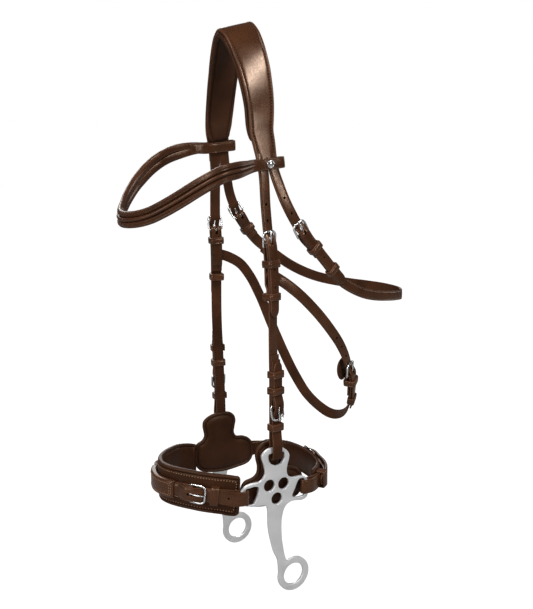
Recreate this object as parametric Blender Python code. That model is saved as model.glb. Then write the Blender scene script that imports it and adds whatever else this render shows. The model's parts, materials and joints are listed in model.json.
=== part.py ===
# Bitless bridle with a mechanical hackamore: padded crown with split tails,
# browband, two buckled cheeks, throatlash, jaw strap, two lever plates with
# pads, padded noseband and padded chin strap.
# +Z up, +X is the horse's left (near side), -Y is the nose, +Y is the chin.
# All dimensions are in millimetres; the mesh itself is in metres.
#
# A strap follows a Spine.  A place on it is (along, across, out): distance
# along the spine, offset over the strap's width, height off its outer face.
# A strap's layers are drawn side-on as a path of (along, out) points.
import bpy
import bmesh
import math
import numpy as np
from mathutils import Vector
from mathutils.geometry import tessellate_polygon

for old in list(bpy.data.objects):
    bpy.data.objects.remove(old, do_unlink=True)

MM = 0.001
# The tables are laid out about a point midway between the two levers; this
# offset puts the origin under the middle of the whole, level with the
# lowest point of the rein rings.
SHIFT = np.array([0.0, -37.57, 136.19])
FLIP_X = np.array([-1, 1, 1])
SIDES = ((False, "left"), (True, "right"))     # (mirrored?, name)

# ------------------------------------------------------------ dimensions
STRAP_HALF = 13.0 / 2      # half width of cheek, throat and jaw straps
STRAP_THICK = 2.5
JAW_THICK = 2.2            # jaw strap, sewn inside the cheek folds
NOSE_STRAP_HALF = 17.5 / 2     # half width of noseband and chin straps
TIP = 9.0                  # length of a billet's rounded tip
WIDE_TIP = 7.0             # the same on the wider straps
LAYER_GAP = 0.3            # clearance between neighbouring layers

WIRE = 1.3                 # buckle frame wire radius
TONGUE = 1.0               # buckle tongue wire radius
BUCKLE_LENGTH = 17.0       # bar to closed end of a buckle frame
BUCKLE_RISE = 3.7          # closed end above the bar
BAR_DROP = 2.85            # bar centre below the leg that folds round it
FOLD = -2 * BAR_DROP       # height of the leg folded back under the bar
OVER_BAR = 3.0             # billet centre above the leg, over the bar
UNDER_END = -2.2           # billet centre under the closed end

KEEPER_LENGTH = 8.5
KEEPER_WALL = 1.7
BILLET_TOP = OVER_BAR + STRAP_THICK / 2

PLATE_X = 72.75            # lever plate centre plane
PLATE_THICK = 3.5
PAD_X = 62.0               # lever pad centre plane
PAD_THICK = 7.0
EYE_BAR = (-1.5, 49.7)     # (y, z) of the bar that closes the top eye
FRONT_BAR = (-45.5, -1.0)  # (y, z) of the front slot bar
REAR_BAR = (40.6, -4.0)    # (y, z) of the rear slot bar
RING_CENTRE = (23.5, -114.5)
RING_OUTER = 21.7
RING_INNER = 13.7
HOLE_RADIUS = 7.4
HOLE_CENTRES = [(-11.0, 7.1), (8.5, 6.1), (-0.7, -11.1)]

NOSE_HALF_HEIGHT = 49.0 / 2
NOSE_THICK = 8.0
CROWN_THICK = 3.0
CROWN_PAD_THICK = 5.0

LEVER_PIVOT = (PLATE_X, *EYE_BAR)
NOSE_PIVOT = (0, *FRONT_BAR)
CHIN_PIVOT = (0, *REAR_BAR)
BROW_PIVOT = (1.35, -4.2, 391.8)   # midway between the browband's loops


# ------------------------------------------------------------ materials
def material(name, colour, roughness, metallic):
    mat = bpy.data.materials.new(name)
    mat.use_nodes = True
    inputs = mat.node_tree.nodes["Principled BSDF"].inputs
    inputs["Base Color"].default_value = (*colour, 1.0)
    inputs["Roughness"].default_value = roughness
    inputs["Metallic"].default_value = metallic
    return mat


LEATHER = material("bridle_leather", colour=(0.052, 0.020, 0.011), roughness=0.42, metallic=0.0)
LINING = material("lining_leather", colour=(0.040, 0.015, 0.008), roughness=0.6, metallic=0.0)
STEEL = material("satin_steel", colour=(0.55, 0.55, 0.55), roughness=0.35, metallic=1.0)
POLISHED = material("polished_buckle", colour=(0.75, 0.75, 0.74), roughness=0.15, metallic=1.0)
SHARP_ANGLE = math.radians(35)     # edges sharper than this stay crisp


# ------------------------------------------------------------ mesh helpers
def build(name, shape, mat, origin=(0, 0, 0), mirror=False, smooth=False):
    """One mesh object from (verts, faces) in mm, its origin at `origin`."""
    verts, faces = shape
    points = np.array(verts, float)
    base = np.array(origin, float)
    if mirror:
        points = points * FLIP_X
        base = base * FLIP_X
    points = points + SHIFT
    base = base + SHIFT
    mesh = bpy.data.meshes.new(name)
    mesh.from_pydata([tuple((p - base) * MM) for p in points], [], [tuple(f) for f in faces])
    bm = bmesh.new()
    bm.from_mesh(mesh)
    bmesh.ops.recalc_face_normals(bm, faces=bm.faces)
    bm.to_mesh(mesh)
    bm.free()
    ob = bpy.data.objects.new(name, mesh)
    ob.location = tuple(base * MM)
    bpy.context.scene.collection.objects.link(ob)
    mesh.materials.append(mat)
    if smooth:
        mesh.shade_smooth()
        mesh.set_sharp_from_angle(angle=SHARP_ANGLE)
    return ob


def rings(sections, closed=False):
    """Quads between equal sections; flat caps unless the sweep is closed."""
    size = len(sections[0])
    count = len(sections)
    verts = [p for section in sections for p in section]
    faces = []
    for i in range(count if closed else count - 1):
        this = i * size
        after = ((i + 1) % count) * size
        for j in range(size):
            k = (j + 1) % size
            faces.append((this + j, this + k, after + k, after + j))
    if not closed:
        faces.append(tuple(range(size)))
        faces.append(tuple(range((count - 1) * size, count * size))[::-1])
    return verts, faces


def tube(inner, outer):
    """Open-ended tube between matching inner and outer section lists."""
    size = len(inner[0])
    verts = [p for section in inner + outer for p in section]
    shell = len(inner) * size                  # first outer vertex
    last = shell - size                        # first vertex of the end section
    faces = []
    for this in range(0, last, size):
        after = this + size
        for j in range(size):
            k = (j + 1) % size
            faces.append((this + k, this + j, after + j, after + k))
            faces.append((shell + this + j, shell + this + k,
                          shell + after + k, shell + after + j))
    for j in range(size):
        k = (j + 1) % size
        faces.append((j, k, shell + k, shell + j))
        faces.append((last + k, last + j, shell + last + j, shell + last + k))
    return verts, faces


def merge(shapes):
    """Several (verts, faces) shapes as one."""
    verts = []
    faces = []
    for part_verts, part_faces in shapes:
        start = len(verts)
        verts += list(part_verts)
        faces += [tuple(i + start for i in face) for face in part_faces]
    return verts, faces


def boolean(ob, shapes, operation='DIFFERENCE', mirror=False, tag="cut"):
    """Boolean of ob with closed shapes, held as a hidden helper."""
    helper = build(ob.name + "_" + tag, merge(shapes), LEATHER, mirror=mirror)
    helper.hide_render = True
    helper.display_type = 'WIRE'
    modifier = ob.modifiers.new(tag, 'BOOLEAN')
    modifier.operation = operation
    modifier.solver = 'EXACT'
    modifier.object = helper


def unit(vectors):
    return vectors / np.linalg.norm(vectors, axis=-1, keepdims=True)


def wire(centres, sides, radius, closed=False):
    """Six-sided wire; sides gives one steady sideways vector per point."""
    centres = np.array(centres)
    sides = np.array(sides)
    if closed:
        tangents = unit(np.roll(centres, -1, 0) - np.roll(centres, 1, 0))
    else:
        tangents = unit(np.gradient(centres, axis=0))
    sides = unit(sides - np.sum(sides * tangents, axis=1, keepdims=True) * tangents)
    uprights = np.cross(tangents, sides)
    angles = np.arange(6) * 2 * math.pi / 6 + math.pi / 6
    return rings([[centre + radius * (math.cos(a) * side + math.sin(a) * upright)
                   for a in angles]
                  for centre, side, upright in zip(centres, sides, uprights)], closed)


# ------------------------------------------------------------ spines
SPINE_STEPS = 30           # curve samples between two control rows


def hermite(rows):
    """Smooth curve through control rows; the first three columns are x, y, z."""
    points = np.array(rows, float)
    gaps = np.linalg.norm(np.diff(points[:, :3], axis=0), axis=1)
    knots = np.r_[0, np.cumsum(gaps)]
    slopes = np.gradient(points, knots, axis=0)
    u = np.linspace(0, 1, SPINE_STEPS, endpoint=False)[:, None]
    pieces = []
    for i in range(len(points) - 1):
        gap = knots[i + 1] - knots[i]
        pieces.append((2 * u**3 - 3 * u**2 + 1) * points[i]
                      + (u**3 - 2 * u**2 + u) * gap * slopes[i]
                      + (-2 * u**3 + 3 * u**2) * points[i + 1]
                      + (u**3 - u**2) * gap * slopes[i + 1])
    pieces.append(points[-1:])
    return np.vstack(pieces)


class Spine:
    """Path of a strap, from rows of (x, y, z, outward normal x, y, z)."""

    def __init__(self, rows):
        curve = hermite(rows)
        self.centres = curve[:, :3]
        gaps = np.linalg.norm(np.diff(self.centres, axis=0), axis=1)
        self.reach = np.r_[0, np.cumsum(gaps)]
        self.length = self.reach[-1]
        self.tangents = unit(np.gradient(self.centres, self.reach, axis=0))
        normals = curve[:, 3:6]
        lean = np.sum(normals * self.tangents, axis=1, keepdims=True)
        self.normals = unit(normals - lean * self.tangents)

    def frame(self, along):
        """Centre, tangent, side and normal; straight beyond either end."""
        inside = min(max(along, 0.0), self.length)
        centre, tangent, normal = (
            np.array([np.interp(inside, self.reach, table[:, i]) for i in range(3)])
            for table in (self.centres, self.tangents, self.normals))
        tangent = unit(tangent)
        normal = unit(normal - (normal @ tangent) * tangent)
        centre = centre + (along - inside) * tangent
        return centre, tangent, np.cross(normal, tangent), normal

    def at(self, along, across, out):
        centre, _, side, normal = self.frame(along)
        return centre + across * side + out * normal

    def nearest(self, point):
        """Distance along the spine of its sample nearest to a point."""
        away = np.linalg.norm(self.centres - np.array(point, float), axis=1)
        return float(self.reach[int(np.argmin(away))])


def flip_row(row):
    x, y, z, normal_x, normal_y, normal_z = row
    return (-x, y, z, -normal_x, normal_y, normal_z)


def join_sides(near, middle, far):
    """Rows from near to far side; both lists are told on the near side,
    from the end inwards."""
    return near + [middle] + [flip_row(row) for row in far[::-1]]


def other_side(rows):
    """The same path told from the far end, mirrored to the near side."""
    return Spine([flip_row(row) for row in rows[::-1]])


# Every spine table has columns x, y, z, then the outward normal's x, y, z,
# unless noted.

# crown piece, from where the tails split up to the poll
CROWN_HALF = [
    (58, -6.3, 391, 1, 0, 0), (56, -8, 405, 1, 0, 0), (54.8, -10.2, 418, 1, 0, 0),
    (54, -10, 431, 1, 0, .02), (52, -9.5, 445, 1, -.02, .1), (48.5, -9.6, 460, 1, -.08, .25),
    (44.5, -10, 473, .9, -.12, .4), (39, -10.7, 488, .82, -.18, .5),
    (33, -12, 501, .75, -.24, .65), (25.5, -13, 514, .6, -.25, .8),
    (15, -14, 526.5, .4, -.25, .9)]
CROWN = Spine(join_sides(CROWN_HALF, (0, -14.6, 534, 0, -.25, .97), CROWN_HALF))

# cheek, downwards: x, y, z, and the normal's turn from +X towards +Y in degrees
CHEEK_EYE_X = 68.6         # plane of the strap beside the plate's eye
CHEEK_TABLE = [
    (58, -12.8, 391, 0), (60.4, -10.6, 373, 1), (64.5, -9.6, 336, 5), (68.3, -8, 304, 7),
    (69.8, -5.9, 280, 10), (70.5, -5.2, 259, 14), (71.2, -5, 230, 16), (71.5, -5, 189, 16),
    (71.2, -4.5, 165, 15), (70.7, -3.7, 144, 13), (70.2, -3.2, 122, 12), (69.7, -2.7, 105, 10),
    (69.2, -2.2, 86, 7), (68.8, -1.8, 68, 3), (CHEEK_EYE_X, -1.5, 50, 0),
    (CHEEK_EYE_X, -1.5, 30, 0)]
CHEEK = Spine([(x, y, z, math.cos(math.radians(turn)), math.sin(math.radians(turn)), 0.0)
               for x, y, z, turn in CHEEK_TABLE])

# throatlash, from each crown tail down to the middle
THROAT_NEAR = [
    (58, 0.4, 391, 1, 0, 0), (60.5, 3.4, 373, 1, 0, 0), (64, 8, 357, 1, -.05, 0),
    (67, 13, 342.5, 1, -.05, 0), (69, 20, 328, 1, -.05, 0), (69.8, 28, 315, 1, 0, 0),
    (69.8, 35.5, 305, 1, .05, 0), (69, 44, 294, 1, .1, 0), (68, 53, 285, 1, .1, 0),
    (66.3, 66, 271.5, 1, .12, 0), (64.3, 80, 257, 1, .15, 0), (61.5, 97, 241, 1, .15, 0),
    (58, 116, 230, 1, .2, 0), (53.5, 138, 221, 1, .25, 0), (47.5, 160, 215.5, 1, .3, 0),
    (40.5, 182, 212, 1, .4, 0), (31, 204, 209, .9, .6, 0), (17.5, 224, 207, .6, .9, 0)]
THROAT_FAR = [
    (58, 0.4, 391, 1, 0, 0), (60.5, 3.4, 373, 1, 0, 0), (64, 7.6, 357, 1, -.05, 0),
    (67, 12, 342, 1, -.05, 0), (69, 18.5, 327, 1, -.05, 0), (69.8, 27, 314, 1, 0, 0),
    (69.8, 35.5, 302, 1, .05, 0), (69, 44, 290.5, 1, .1, 0), (68, 53, 280.5, 1, .1, 0),
    (66.3, 66, 269.5, 1, .12, 0), (64.3, 80, 259, 1, .15, 0), (61.5, 97, 247, 1, .15, 0),
    (58, 116, 236.5, 1, .2, 0), (53.5, 138, 227.5, 1, .25, 0), (47.5, 160, 221.5, 1, .3, 0),
    (40.5, 182, 217, 1, .4, 0), (31, 204, 213.5, .9, .6, 0), (17.5, 224, 210, .6, .9, 0)]
THROAT_ROWS = join_sides(THROAT_NEAR, (0, 232, 207.5, 0, 1, 0), THROAT_FAR)
THROAT = Spine(THROAT_ROWS)
THROATS = (THROAT, other_side(THROAT_ROWS))    # told from the near, far end

# jaw strap, from the near cheek under the jaw to the far cheek
JAW = Spine([
    (67.8, -6.5, 259.2, .97, .24, 0), (66.95, -3, 257.2, .97, .24, 0),
    (65, 5, 252.6, .97, .24, 0), (66.4, 14, 246.5, 1, .05, 0), (69.3, 28, 235.3, 1, .05, 0),
    (70, 53, 212, 1, .05, 0), (69, 77, 185.5, 1, .1, 0), (66.5, 96, 161, 1, .2, 0),
    (63, 110, 135.5, .9, .5, -.1), (58, 117, 116.5, .8, .7, -.3), (52.5, 121, 99, .7, .8, -.4),
    (46, 123.5, 82, .6, .8, -.5), (36, 124.5, 67, .4, .85, -.6), (20, 124, 57.5, .1, .85, -.6),
    (2, 122, 55, -.1, .85, -.5), (-15, 117, 60.5, -.3, .85, -.4), (-30, 108, 74, -.6, .75, -.3),
    (-42, 97, 98, -.8, .5, -.2), (-52, 83, 133, -.95, .3, -.1), (-60, 70, 169, -1, .15, 0),
    (-66, 54, 211, -1, .05, 0), (-68.5, 42, 234.5, -1, .05, 0), (-69, 29, 250.5, -1, .05, 0),
    (-66.2, 14, 259.5, -1, .05, 0), (-64.8, 5, 263.3, -.975, .22, 0),
    (-66.65, -3, 265.8, -.975, .22, 0), (-67.45, -6.5, 266.8, -.975, .22, 0)])

# noseband, from inside the front slot to the middle of the nose
NOSE_HALF = [
    (65, -34, -1.3, 1, 0, 0), (65, -41, -1.2, 1, 0, 0), (65, -47.5, -1, 1, 0, 0),
    (63.6, -54, -.3, .97, -.22, 0), (60.6, -61, 1.5, .93, -.36, 0),
    (54.6, -73, 3.5, .85, -.53, 0), (46.5, -84.5, 5, .78, -.63, 0),
    (37, -95, 6.5, .65, -.76, 0), (25.5, -105, 7.5, .48, -.88, 0), (13, -112, 8, .25, -.97, 0)]
NOSE = Spine(join_sides(NOSE_HALF, (0, -114.6, 8, 0, -1, 0), NOSE_HALF))

# chin strap, from inside the rear slot to the middle of the chin
CHIN_HALF = [
    (64.5, 30, -4, 1, 0, 0), (64.5, 37, -4, 1, 0, 0), (64.5, 44, -4, 1, 0, 0),
    (63, 53.5, -4, .97, .22, 0), (58.5, 63, -3.5, .85, .5, 0), (50.5, 72.5, -3, .7, .7, 0),
    (38, 79.5, -2, .4, .9, 0), (20, 83.8, -1.3, .18, .98, 0)]
CHIN = Spine(join_sides(CHIN_HALF, (0, 85, -1, 0, 1, 0), CHIN_HALF))

# browband, from its rear loop forward to the middle of the brow
BROW_NEAR = [
    (63.0, 14, 383.5, 1, 0, 0), (63.2, 0, 382, 1, -.02, 0), (63.5, -18, 380.3, 1, .1, 0),
    (71.5, -39, 378, .95, .4, 0), (79.8, -57, 375.5, 1, .15, 0), (83.6, -71, 373, 1, -.15, 0),
    (82.6, -82, 368.5, .95, -.3, 0), (79.3, -92, 363, .9, -.4, 0),
    (74.5, -102, 356.5, .85, -.5, 0), (68.8, -111.5, 349.5, .78, -.62, 0),
    (61.3, -120.5, 342.5, .7, -.7, 0), (52, -129.5, 335.5, .62, -.78, 0),
    (40.5, -138, 329, .5, -.86, 0), (27, -146.5, 324.5, .35, -.93, 0),
    (13, -152, 322.5, .15, -.98, 0)]
# the far end rides higher on the crown piece than the near end
BROW_FAR = [
    (60.75, 12.8, 402, 1, 0, .13), (60.85, -1.2, 400.7, 1, -.02, .13),
    (61.2, -19.5, 398.8, 1, .1, .12), (69.5, -39.5, 397, .95, .4, .06),
    (79, -57, 392, 1, .15, 0), (83.4, -71, 385.2, 1, -.15, 0), (82.6, -82, 378.5, .95, -.3, 0),
    (79.3, -92, 371.6, .9, -.4, 0), (74.5, -102, 363.8, .85, -.5, 0),
    (68.8, -111.5, 356, .78, -.62, 0), (61.3, -120.5, 347.9, .7, -.7, 0),
    (52, -129.5, 339.7, .62, -.78, 0), (40.5, -138, 332, .5, -.86, 0),
    (27, -146.5, 326.3, .35, -.93, 0), (13, -152, 323.2, .15, -.98, 0)]
BROW_MIDDLE = (0, -153.5, 322)
BROW_ROWS = join_sides(BROW_NEAR, (*BROW_MIDDLE, 0, -1, 0), BROW_FAR)


# ------------------------------------------------------------ straps
def stations(path, step, from_end=()):
    """Points, mitred normals and lengths along an (along, out) path, at its
    corners, at most `step` apart, and at given distances from its end."""
    corners = np.array(path, float)
    lengths = np.linalg.norm(np.diff(corners, axis=0), axis=1)
    reach = np.r_[0, np.cumsum(lengths)]
    total = reach[-1]
    marks = set(np.round(reach, 4))
    for start, length in zip(reach, lengths):
        count = int(math.ceil(length / step))
        for j in range(1, count):
            marks.add(round(start + length * j / count, 4))
    for distance in from_end:
        marks.add(round(total - distance, 4))
    marks = np.array(sorted(marks))
    keep = [0]
    for i in range(1, len(marks)):
        if marks[i] - marks[keep[-1]] > 0.35:
            keep.append(i)
    marks = marks[keep]
    marks[-1] = total
    points = np.stack([np.interp(marks, reach, corners[:, i]) for i in range(2)], 1)
    heading = unit(np.diff(points, axis=0))
    square = np.stack([-heading[:, 1], heading[:, 0]], 1)
    mitres = np.vstack([square[:1], square[:-1] + square[1:], square[-1:]])
    mitres[1:-1] /= np.maximum(np.sum(mitres[1:-1] * square[1:], axis=1, keepdims=True), 0.4)
    return points, mitres, marks


def rounded_half(half, from_tip, tip):
    """Half width at a distance from a tip rounded over the length `tip`."""
    if from_tip < tip:
        return half * max(0.35, math.sqrt(max(0.0, 1 - (1 - from_tip / tip) ** 2)))
    return half


def faces_of_layer(point, mitre, thickness):
    """(along, out) on the upper and the lower face of a layer."""
    (along, out), (mitre_along, mitre_out) = point, mitre
    return [(along + sign * mitre_along * thickness / 2, out + sign * mitre_out * thickness / 2)
            for sign in (1, -1)]


def strap(name, spine, path, half, step, thickness=STRAP_THICK, tip=0.0,
          origin=(0, 0, 0), mirror=False):
    """Leather layer along a path, its last end rounded over `tip`."""
    from_end = [tip * f for f in (0.12, 0.4, 1.0)] if tip else []
    points, mitres, marks = stations(path, step, from_end)
    sections = []
    for point, mitre, mark in zip(points, mitres, marks):
        width = rounded_half(half, marks[-1] - mark, tip)
        upper, lower = faces_of_layer(point, mitre, thickness)
        sections.append([spine.at(upper[0], -width, upper[1]), spine.at(upper[0], width, upper[1]),
                         spine.at(lower[0], width, lower[1]),
                         spine.at(lower[0], -width, lower[1])])
    return build(name, rings(sections), LEATHER, origin=origin, mirror=mirror)


def round_bar(bar, bar_out, radius, facing, start, end):
    """Path round a bar; angle 0 faces the closed end of the frame."""
    return [(bar + facing * radius * math.cos(math.radians(a)),
             bar_out + radius * math.sin(math.radians(a)))
            for a in np.linspace(start, end, 6)]


def over_buckle(bar, start, tip):
    """Billet path under the closed end of a buckle and over its bar."""
    return [(start, 0.0), (bar - (BUCKLE_LENGTH + 5), UNDER_END * 0.95),
            (bar - (BUCKLE_LENGTH - 2.5), UNDER_END), (bar - 10, 0.2), (bar - 3, OVER_BAR),
            (bar + 3, OVER_BAR), (bar + 14, OVER_BAR), (tip, OVER_BAR)]


def turned_end(bar, tail):
    """Strap end folded round a buckle bar, from its sewn tail outwards."""
    return [(bar + tail, FOLD + 2.5), (bar + 14, FOLD + 2.5), (bar + 7, FOLD + 0.4),
            (bar + 3, FOLD)] + round_bar(bar, -BAR_DROP, BAR_DROP, -1, -90, 90) + [(bar + 3, 0)]


SLOT_TURN_RADIUS = 3.85


def slot_turn(bar, bar_out, bar_half):
    """Inner face, round a bar of that half width (with room to swing),
    outer face."""
    radius = SLOT_TURN_RADIUS
    centre = bar - (bar_half + 0.35 + STRAP_THICK / 2 - radius)
    turn = [(centre - radius * math.sin(math.radians(a)),
             bar_out - radius * math.cos(math.radians(a))) for a in (30, 60, 90, 120, 150)]
    return [(bar + 1.0, bar_out - radius), (centre, bar_out - radius)] + turn + [
        (centre, bar_out + radius), (bar + 1.0, bar_out + radius)]


def from_far_end(path, spine):
    """The same path measured from the spine's other end."""
    return [(spine.length - along, out) for along, out in path]


def padded_section(spine, along, shift, half, thick, bevel):
    """Eight-sided section of a padded band, bevelled towards its edges."""
    profile = [(-half, -thick * .2), (-half, thick * .2), (-half + bevel, thick / 2),
               (half - bevel, thick / 2), (half, thick * .2), (half, -thick * .2),
               (half - bevel, -thick / 2), (-half + bevel, -thick / 2)]
    return [spine.at(along, shift + across, out) for across, out in profile]


# ------------------------------------------------------------ cutters
def prism(spine, outline, low, high):
    """Closed cutter: outline in (along, across) between two heights."""
    return rings([[spine.at(along, across, out) for along, across in outline]
                  for out in (low, high)])


def hole(spine, along, out, radius, stretch=0.0, depth=2.6):
    """Round hole cutter, drawn out by +-stretch along the strap."""
    outline = []
    for i in range(8):
        angle = (i + 0.5) * 2 * math.pi / 8
        reach = math.cos(angle)
        outline.append((along + radius * reach + (stretch if reach > 0 else -stretch),
                        radius * math.sin(angle)))
    return prism(spine, outline, out - depth, out + depth)


def tongue_hole(spine, bar, facing, out, depth):
    """Long hole where the tongue passes through a billet."""
    return hole(spine, bar + facing * 5.6, out, 1.6, stretch=3.8, depth=depth)


def tongue_slot(spine, bar, facing, bar_out):
    """Opening in a fold round a bar, for the tongue's eye."""
    low, high = sorted((bar - facing * 6.0, bar + facing * 6.5))
    return prism(spine, [(low, -1.7), (high, -1.7), (high, 1.7), (low, 1.7)],
                 bar_out - 4.6, bar_out + 4.6)


# ------------------------------------------------------------ buckles and keepers
BAR_BEND = 1.6             # frame corner radius at the bar
END_BEND = 4.5             # frame corner radius at the closed end


def buckle(tag, spine, bar, facing, bar_out, half, mirror=False, rise=BUCKLE_RISE):
    """Frame and tongue.  The closed end lies BUCKLE_LENGTH beyond the bar
    in direction `facing` and `rise` above it."""
    frame_half = half + 0.6 + WIRE
    end = bar + facing * BUCKLE_LENGTH
    # corner centre (along, across), radius, start angle, points in the corner
    corners = [(bar + facing * BAR_BEND, BAR_BEND - frame_half, BAR_BEND, 180, 2),
               (end - facing * END_BEND, END_BEND - frame_half, END_BEND, 270, 3),
               (end - facing * END_BEND, frame_half - END_BEND, END_BEND, 0, 3),
               (bar + facing * BAR_BEND, frame_half - BAR_BEND, BAR_BEND, 90, 2)]
    centres = []
    sides = []
    for corner_along, corner_across, radius, start, count in corners:
        for angle in np.radians(np.linspace(start, start + 90, count)):
            along = corner_along + facing * radius * math.cos(angle)
            across = corner_across + radius * math.sin(angle)
            out = bar_out + rise * abs(along - bar) / BUCKLE_LENGTH
            centres.append(spine.at(along, across, out))
            sides.append(spine.frame(along)[3])
    build(tag + "_buckle_frame", wire(centres, sides, WIRE, closed=True), POLISHED,
          mirror=mirror, smooth=True)

    eye = WIRE + 0.25 + TONGUE
    path = round_bar(bar, bar_out, eye, facing, -65, -270)
    path += [(bar + facing * 6.5, bar_out + eye + 2.1),
             (end + facing * 0.9, bar_out + rise + WIRE + TONGUE + 0.35)]
    centres = [spine.at(along, 0, out) for along, out in path]
    sides = [spine.frame(along)[2] for along, _ in path]
    # the tongue turns about the bar, so its origin sits there
    build(tag + "_buckle_tongue", wire(centres, sides, TONGUE), POLISHED,
          origin=spine.at(bar, 0, bar_out), mirror=mirror, smooth=True)


def keeper_loop(spine, along, half, low, high, length=KEEPER_LENGTH, wall=KEEPER_WALL, count=2):
    """Closed loop round all layers between heights low and high."""
    def sections(side, bottom, top, corner):
        profile = [(-side, bottom + corner), (-side + corner, bottom),
                   (side - corner, bottom), (side, bottom + corner),
                   (side, top - corner), (side - corner, top),
                   (-side + corner, top), (-side, top - corner)]
        return [[spine.at(x, across, out) for across, out in profile]
                for x in np.linspace(along - length / 2, along + length / 2, count)]
    side = half + 0.5
    bottom = low - 0.35
    top = high + 0.35
    return tube(sections(side, bottom, top, 0.25),
                sections(side + wall, bottom - wall, top + wall, 1.0))


def keeper_arch(spine, along, half, low, high):
    """Loop without a lower side: its feet reach down beside the layers."""
    inner = half + 0.5
    outer = inner + KEEPER_WALL
    top = high + 0.35
    crest = top + KEEPER_WALL
    profile = [(-outer, low), (-inner, low), (-inner, top - 0.3), (-inner + 0.3, top),
               (inner - 0.3, top), (inner, top - 0.3), (inner, low), (outer, low),
               (outer, crest - 1), (outer - 1, crest), (-outer + 1, crest), (-outer, crest - 1)]
    ends = (along - KEEPER_LENGTH / 2, along + KEEPER_LENGTH / 2)
    return rings([[spine.at(end, across, out) for across, out in profile] for end in ends])


def keeper(name, spine, along, half, low, high, mirror=False, arch=False, slides=False,
           origin=(0, 0, 0)):
    """Leather keeper; one that slides has its origin at its own centre."""
    shape = keeper_arch if arch else keeper_loop
    if slides:
        origin = spine.at(along, 0, (low + high) / 2)
    build(name, shape(spine, along, half, low, high), LEATHER, origin=origin, mirror=mirror)


# ------------------------------------------------------------ crown piece
# Pairs hold the near and the far side; the far cheek is buckled higher.
UPPER_BAR = CHEEK.nearest((68.7, -7, 290.5))
UPPER_BARS = (UPPER_BAR, UPPER_BAR - 7.5)
UPPER_TIP = CHEEK.nearest((71.4, -5, 210))
THROAT_BARS = (THROAT.nearest((69.6, 38, 301)), THROATS[1].nearest((69.8, 27, 314)))
THROAT_TIP = THROAT.nearest((61.5, 97, 238))
THROAT_TIPS = (THROAT_TIP, THROAT_BARS[1] + THROAT_TIP - THROAT_BARS[0])

CROWN_STEPS = np.linspace(-1, 1, 23)
CROWN_MIDDLE = CROWN.length / 2
CROWN_PLACES = CROWN_MIDDLE * (1 + np.sign(CROWN_STEPS) * np.abs(CROWN_STEPS) ** 1.2)


def crown_spread(along):
    """0 at the middle of the crown, 1 at its ends."""
    return min(1.0, abs(along - CROWN_MIDDLE) / CROWN_MIDDLE)


def headpiece_holes():
    shapes = []
    for far in (False, True):
        throat = THROATS[far]
        part = [hole(CHEEK, CHEEK.nearest((66, -9, z)), 0, 1.7) for z in (338, 318.5)]
        part += [hole(CHEEK, CHEEK.nearest((71, -5, z)), OVER_BAR, 1.3, depth=1.9)
                 for z in (264, 243.5)]
        part.append(tongue_hole(CHEEK, UPPER_BARS[far], -1, 1.0, 5.5))
        for y in ((12.5,) if far else (12.5, 21)):
            place = throat.nearest((66.5 + (y - 12) * .25, y, 343 - (y - 13) * 2.1))
            part.append(hole(throat, place, 0, 1.7))
        part += [hole(throat, THROAT_BARS[far] + x, OVER_BAR, 1.3, depth=1.9)
                 for x in (19.5, 39)]
        part.append(tongue_hole(throat, THROAT_BARS[far], -1, 1.0, 5.5))
        verts, faces = merge(part)
        if far:
            verts = [p * FLIP_X for p in verts]
        shapes.append((verts, faces))
    return shapes


def headpiece():
    """Crown with a cheek tail and a throatlash tail at each end."""
    verts = []
    faces = []

    def put(section):
        start = len(verts)
        verts.extend(section)
        return list(range(start, len(verts)))

    # crown section: upper face rear, middle, front, then the lower face
    sections = []
    for along in CROWN_PLACES:
        spread = crown_spread(along)
        half = 13.3 + 8.2 * (1 - spread) ** 0.85
        thick = CROWN_THICK if spread < 0.99 else STRAP_THICK
        sections.append(put([CROWN.at(along, across, out) for out in (thick / 2, -thick / 2)
                             for across in (-half, 0, half)]))
    for this, after in zip(sections[:-1], sections[1:]):
        for i, j in ((0, 1), (1, 2), (2, 5), (5, 4), (4, 3), (3, 0)):
            faces.append((this[i], this[j], after[j], after[i]))

    def tail(spine, bar, tip, root, far):
        points, mitres, marks = stations(over_buckle(bar, 9.0, tip), 14.0, (1.2, 4, 9))
        previous = root
        for point, mitre, mark in zip(points, mitres, marks):
            half = STRAP_HALF - (0.25 if mark < 1 else 0.0)
            half = rounded_half(half, marks[-1] - mark, TIP)
            upper, lower = faces_of_layer(point, mitre, STRAP_THICK)
            # positive across points rearward on both tails
            section = [spine.at(upper[0], half, upper[1]), spine.at(upper[0], -half, upper[1]),
                       spine.at(lower[0], -half, lower[1]), spine.at(lower[0], half, lower[1])]
            if far:
                section = [p * FLIP_X for p in section]
            current = put(section)
            for j in range(4):
                k = (j + 1) % 4
                faces.append((previous[j], previous[k], current[k], current[j]))
            previous = current
        faces.append(tuple(previous))

    for end, far in ((sections[0], False), (sections[-1], True)):
        tail(CHEEK, UPPER_BARS[far], UPPER_TIP, [end[i] for i in (1, 2, 5, 4)], far)
        tail(THROATS[far], THROAT_BARS[far], THROAT_TIPS[far],
             [end[i] for i in (0, 1, 4, 3)], far)
    boolean(build("headpiece", (verts, faces), LEATHER), headpiece_holes())


def crown_pad():
    top = -CROWN_THICK / 2 - 3 * LAYER_GAP
    low = top - CROWN_PAD_THICK
    sections = []
    for along in CROWN_PLACES[1:-1]:
        half = 14.6 + 8.4 * (1 - crown_spread(along)) ** 0.85
        sections.append([CROWN.at(along, across, out) for across, out in (
            (-half + 2, top), (half - 2, top), (half, top - 1.5), (half, low + 1.5),
            (half - 2.5, low), (-half + 2.5, low), (-half, low + 1.5), (-half, top - 1.5))])
    build("crown_pad", rings(sections), LINING)


headpiece()
crown_pad()

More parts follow.
